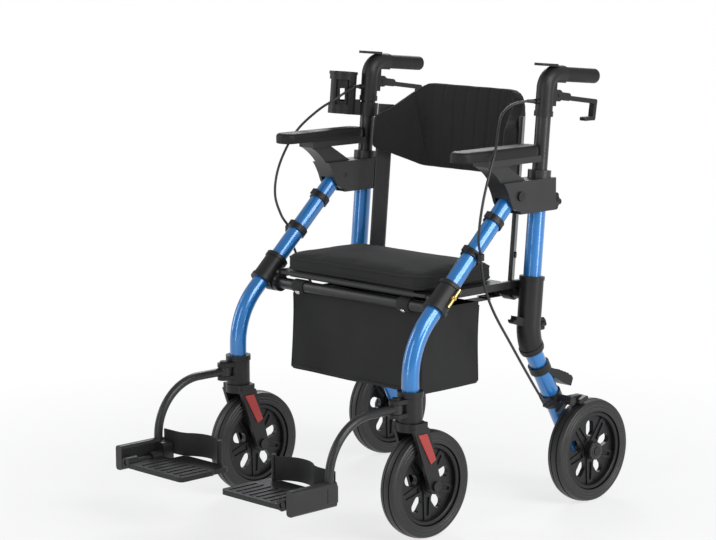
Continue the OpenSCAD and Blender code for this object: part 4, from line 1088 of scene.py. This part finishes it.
def turned_disc(name, place, outward, radius, height, inset, rise):
    """A round disc with a raised middle, standing on the place and facing outward."""
    centre = place + outward * height / 2
    disc = add_rod(name, centre, outward, radius, height)
    pick(disc, lambda *ring: min((c - centre).dot(outward) for c in ring) > 0.4 * height, "FACE")
    bpy.ops.mesh.inset(thickness=inset)
    bpy.ops.mesh.extrude_region_move(TRANSFORM_OT_translate={"value": outward * rise})
    done(disc)
    apply_modifier(disc, "BEVEL", width=0.2 * height, segments=3, limit_method="ANGLE")
    return smooth(disc, 50)


snap_out = Vector((0, -math.cos(SNAP_TILT), -math.sin(SNAP_TILT)))
for side, k in SIDES.items():
    place = Vector((k * BAG_STRAP_X, front_rail.y, front_rail.z)) + snap_out * (LOOP_R + WEB_T / 2)
    stud = turned_disc("bag_snap_" + side, place, snap_out, SNAP_R, SNAP_H, 0.3 * SNAP_R, 0.4 * SNAP_H)
    give(stud, "nickel", "steel", "front_frame")

# %% [markdown]
# The seat's cover is turned under at the front and leaves a short skirt that hides the hinge rail.

# %% Seat skirt
SKIRT_H, SKIRT_T = 11 * MM, 1.6 * MM
SKIRT_STEPS = 24
skirt_y = seat_low.y + 5 * MM
skirt_z = seat_low.z - SKIRT_H / 2 + 2 * MM
skirt_half = seat_half.x - CORNER_R
skirt_x = [skirt_half * (2 * i / SKIRT_STEPS - 1) for i in range(SKIRT_STEPS + 1)]
skirt = strap("seat_skirt", [(x, skirt_y, skirt_z) for x in skirt_x], (0, 0, SKIRT_H), SKIRT_T)
give(skirt, "seat_cover", "seat_cover", "seat")

# %% [markdown]
# ## Wheel caps
# A cap on each rear hub hides the axle nut. It is a disc with a raised, inset face, and the axle's end shows
# in its middle. The maker of the snaps makes it too.

# %% Wheel caps
CAP_R, CAP_T, CAP_SUNK = 17 * MM, 6 * MM, 4 * MM
CAP_RIM, CAP_RISE = 4 * MM, 1.6 * MM

for side, k in SIDES.items():
    outward = Vector((k, 0, 0))
    hub = "rear_hub_" + side
    place = middle(hub) + outward * (size_of(hub).x / 2 - CAP_SUNK)
    cap = turned_disc("hub_cap_" + side, place, outward, CAP_R, CAP_T, CAP_RIM, CAP_RISE)
    give(cap, "bracket", "hub_plastic", "rear_wheel_" + side)

# %% [markdown]
# ## Cup liner
# A rubber liner stands in the cup holder. It closes the holder's wide windows apart from a narrow slot,
# through which one sees from the front to the back. The holder's top ring gives its middle and its bore. An
# open rod gets a wall, and a block cuts the slot.

# %% Cup liner
LINER_T, LINER_GAP, LINER_DROP, CUP_FLOOR = 1.6 * MM, 0.4 * MM, 9 * MM, 4.4 * MM
SLOT_W, SLOT_H, SLOT_TURN = 10 * MM, 26 * MM, math.radians(45)

up_tube = Vector((0, math.sin(UPRIGHT_LEAN), math.cos(UPRIGHT_LEAN)))
holder = nodes["cup_holder"]
corners = [holder.matrix_world @ vertex.co for vertex in holder.data.vertices]
heights = [corner.dot(up_tube) for corner in corners]
ring = [corner for corner, height in zip(corners, heights) if max(heights) - height < 0.5 * MM]
rim = sum(ring, Vector()) / len(ring)
bore = min((corner - rim).length for corner in ring)
liner_h = max(heights) - min(heights) - LINER_DROP - CUP_FLOOR
liner_middle = rim - up_tube * (LINER_DROP + liner_h / 2)
print("cup bore", bore, "liner height", liner_h)

liner = add_rod("cup_liner", liner_middle, up_tube, bore - LINER_GAP, liner_h, vertices=64, ends="NOTHING")
apply_modifier(liner, "SOLIDIFY", thickness=LINER_T, offset=-1)
bpy.ops.object.select_all(action="DESELECT")
bpy.ops.mesh.primitive_cube_add(size=1, location=liner_middle, rotation=(0, 0, SLOT_TURN),
                                scale=(SLOT_W, 4 * bore, SLOT_H))
slot_cutter = bpy.context.object
apply_modifier(liner, "BOOLEAN", object=slot_cutter, operation="DIFFERENCE")
bpy.data.objects.remove(slot_cutter)
give(smooth(liner, 40), "grip_rubber", "grip_rubber", "handle_r")

# %% [markdown]
# ## Heel straps
# A band behind each foot plate keeps the heel from sliding off. It is an arc that bows backwards, and near
# its outer end it leaves the arc and runs on to the hanger. It rides on the footrest.

# %% Heel straps
BAND_T, BAND_GAP, POST_GAP = 2.6 * MM, 1.5 * MM, 1 * MM
BOW_STEPS, BOW_KEPT = 24, 22
TAIL = ((0.2, 1.2 * MM), (0.45, 0), (1, 0))

for side, k in SIDES.items():
    low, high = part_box("heel_strap_" + side)
    half = (high.x - low.x) / 2 - POST_GAP
    bow = high.y - low.y - 2 * BAND_GAP
    centre = Vector(((low.x + high.x) / 2, low.y + BAND_GAP, (low.z + high.z) / 2))
    radius = (half * half + bow * bow) / (2 * bow)
    reach = math.asin(half / radius)
    turns = [reach * (2 * i / BOW_STEPS - 1) for i in range(BOW_KEPT + 1)]
    path = [centre + Vector((k * radius * math.sin(t), bow - radius * (1 - math.cos(t)), 0)) for t in turns]
    end = path.pop()
    to_hanger = middle("caster_head_" + side).x - end.x
    tail = [Vector((end.x + share * to_hanger, low.y + BAND_T + back, end.z)) for share, back in TAIL]
    path += curve_through([end] + tail, 4)
    band = strap("heel_band_" + side, path, (0, 0, high.z - low.z), BAND_T)
    give(band, "webbing", "cloth", "footrest_" + side, "heel_strap_" + side)
    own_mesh(band)

# %% [markdown]
# ## Armrests
# The armrests are skinned foam on a plate: round ended, soft along the top edge and firm below.

# %% Armrest pads
PAD_END_R, PAD_TOP_R, PAD_BASE_R = 20 * MM, 7 * MM, 2.5 * MM

for side in SIDES:
    low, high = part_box("armrest_pad_" + side)
    pad = add_block("armrest_cushion_" + side, low, high)
    round_edges(pad, is_upright, PAD_END_R, 10)
    round_edges(pad, lies_above(high.z - 1 * MM), PAD_TOP_R, 5)
    round_edges(pad, lies_below(low.z + 1 * MM), PAD_BASE_R, 3)
    smooth(pad, 50)
    give(pad, "armrest_foam", "armrest_foam", "rear_frame", "armrest_pad_" + side)

# %% [markdown]
# ## Brake cables
# Each cable leaves the handle, bows forward round the armrest, runs through the clip on the front leg and
# down to the rear brake. It is made as three pieces that meet end to end.

# %% Brake cables
CABLE_D = 5 * MM
CABLE_ROUTE = [
    (234, 87, 775), (230, 72, 776), (220, 44, 771), (222, 12, 756), (240, -18, 735), (263, -50, 700),
    (273, -76, 660), (277, -96, 615), (275, -104, 570), (266, -97, 532), (260, -86, 512), (259, -84, 504),
    (258, -82, 494), (255, -74, 466), (251, -58, 430), (248, -32, 388), (247, 10, 331), (248, 56, 267),
    (251, 90, 219), (254, 100, 204),
]
CABLE_STEPS = 6
MIDWAY, AT_CLIP = 6, 11


def cable_points(k):
    return [DRAWN_ROUND + MM * Vector((k * x, y, z)) for x, y, z in CABLE_ROUTE]


for side, k in SIDES.items():
    line = curve_through(cable_points(k), CABLE_STEPS)
    cuts = [0, MIDWAY * CABLE_STEPS, AT_CLIP * CABLE_STEPS, len(line) - 1]
    stretches = [("top", "handle_" + side, "rear_frame"), ("bow", "rear_frame", "front_frame"),
                 ("low", "front_frame", "rear_frame")]
    for (label, first, second), start, end in zip(stretches, cuts, cuts[1:]):
        piece = tube(f"cable_{label}_{side}", line[start:end + 1], CABLE_D)
        length = sum((b - a).length for a, b in zip(line[start:end], line[start + 1:end + 1]))
        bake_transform(piece)
        give(piece, "cable", "cable", None)
        if label == "top":
            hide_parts("brake_cable_" + side)
        line[start:end + 1]
        print(piece.name, "is", round(length, 3), "m long")

# %% [markdown]
# Where a cable goes into the handle and into the brake, a tapered sleeve keeps it from kinking.

# %% Cable sleeves
SLEEVE_LEN, SLEEVE_R, SLEEVE_TIP = 17 * MM, 4.3 * MM, 0.72


def sleeve(name, place, along):
    """A sleeve from the place along the cable, narrower at its free end."""
    along = along.normalized()
    tip = place + along * SLEEVE_LEN
    piece = add_rod(name, place + along * SLEEVE_LEN / 2, along, SLEEVE_R, SLEEVE_LEN, vertices=28)
    pick(piece, lambda *ring: max((c - tip).length for c in ring) < SLEEVE_R * 1.1, "FACE")
    bpy.ops.transform.resize(value=(SLEEVE_TIP, SLEEVE_TIP, SLEEVE_TIP), center_override=tip)
    done(piece)
    apply_modifier(piece, "BEVEL", width=0.6 * MM, segments=2, limit_method="ANGLE")
    return smooth(piece, 50)


for side, k in SIDES.items():
    points = cable_points(k)
    top = sleeve("cable_sleeve_top_" + side, points[0], points[1] - points[0])
    give(top, "black_metal", "cable", "handle_" + side)
    low = sleeve("cable_sleeve_low_" + side, points[-1], points[-2] - points[-1])
    give(low, "black_metal", "cable", "rear_frame")
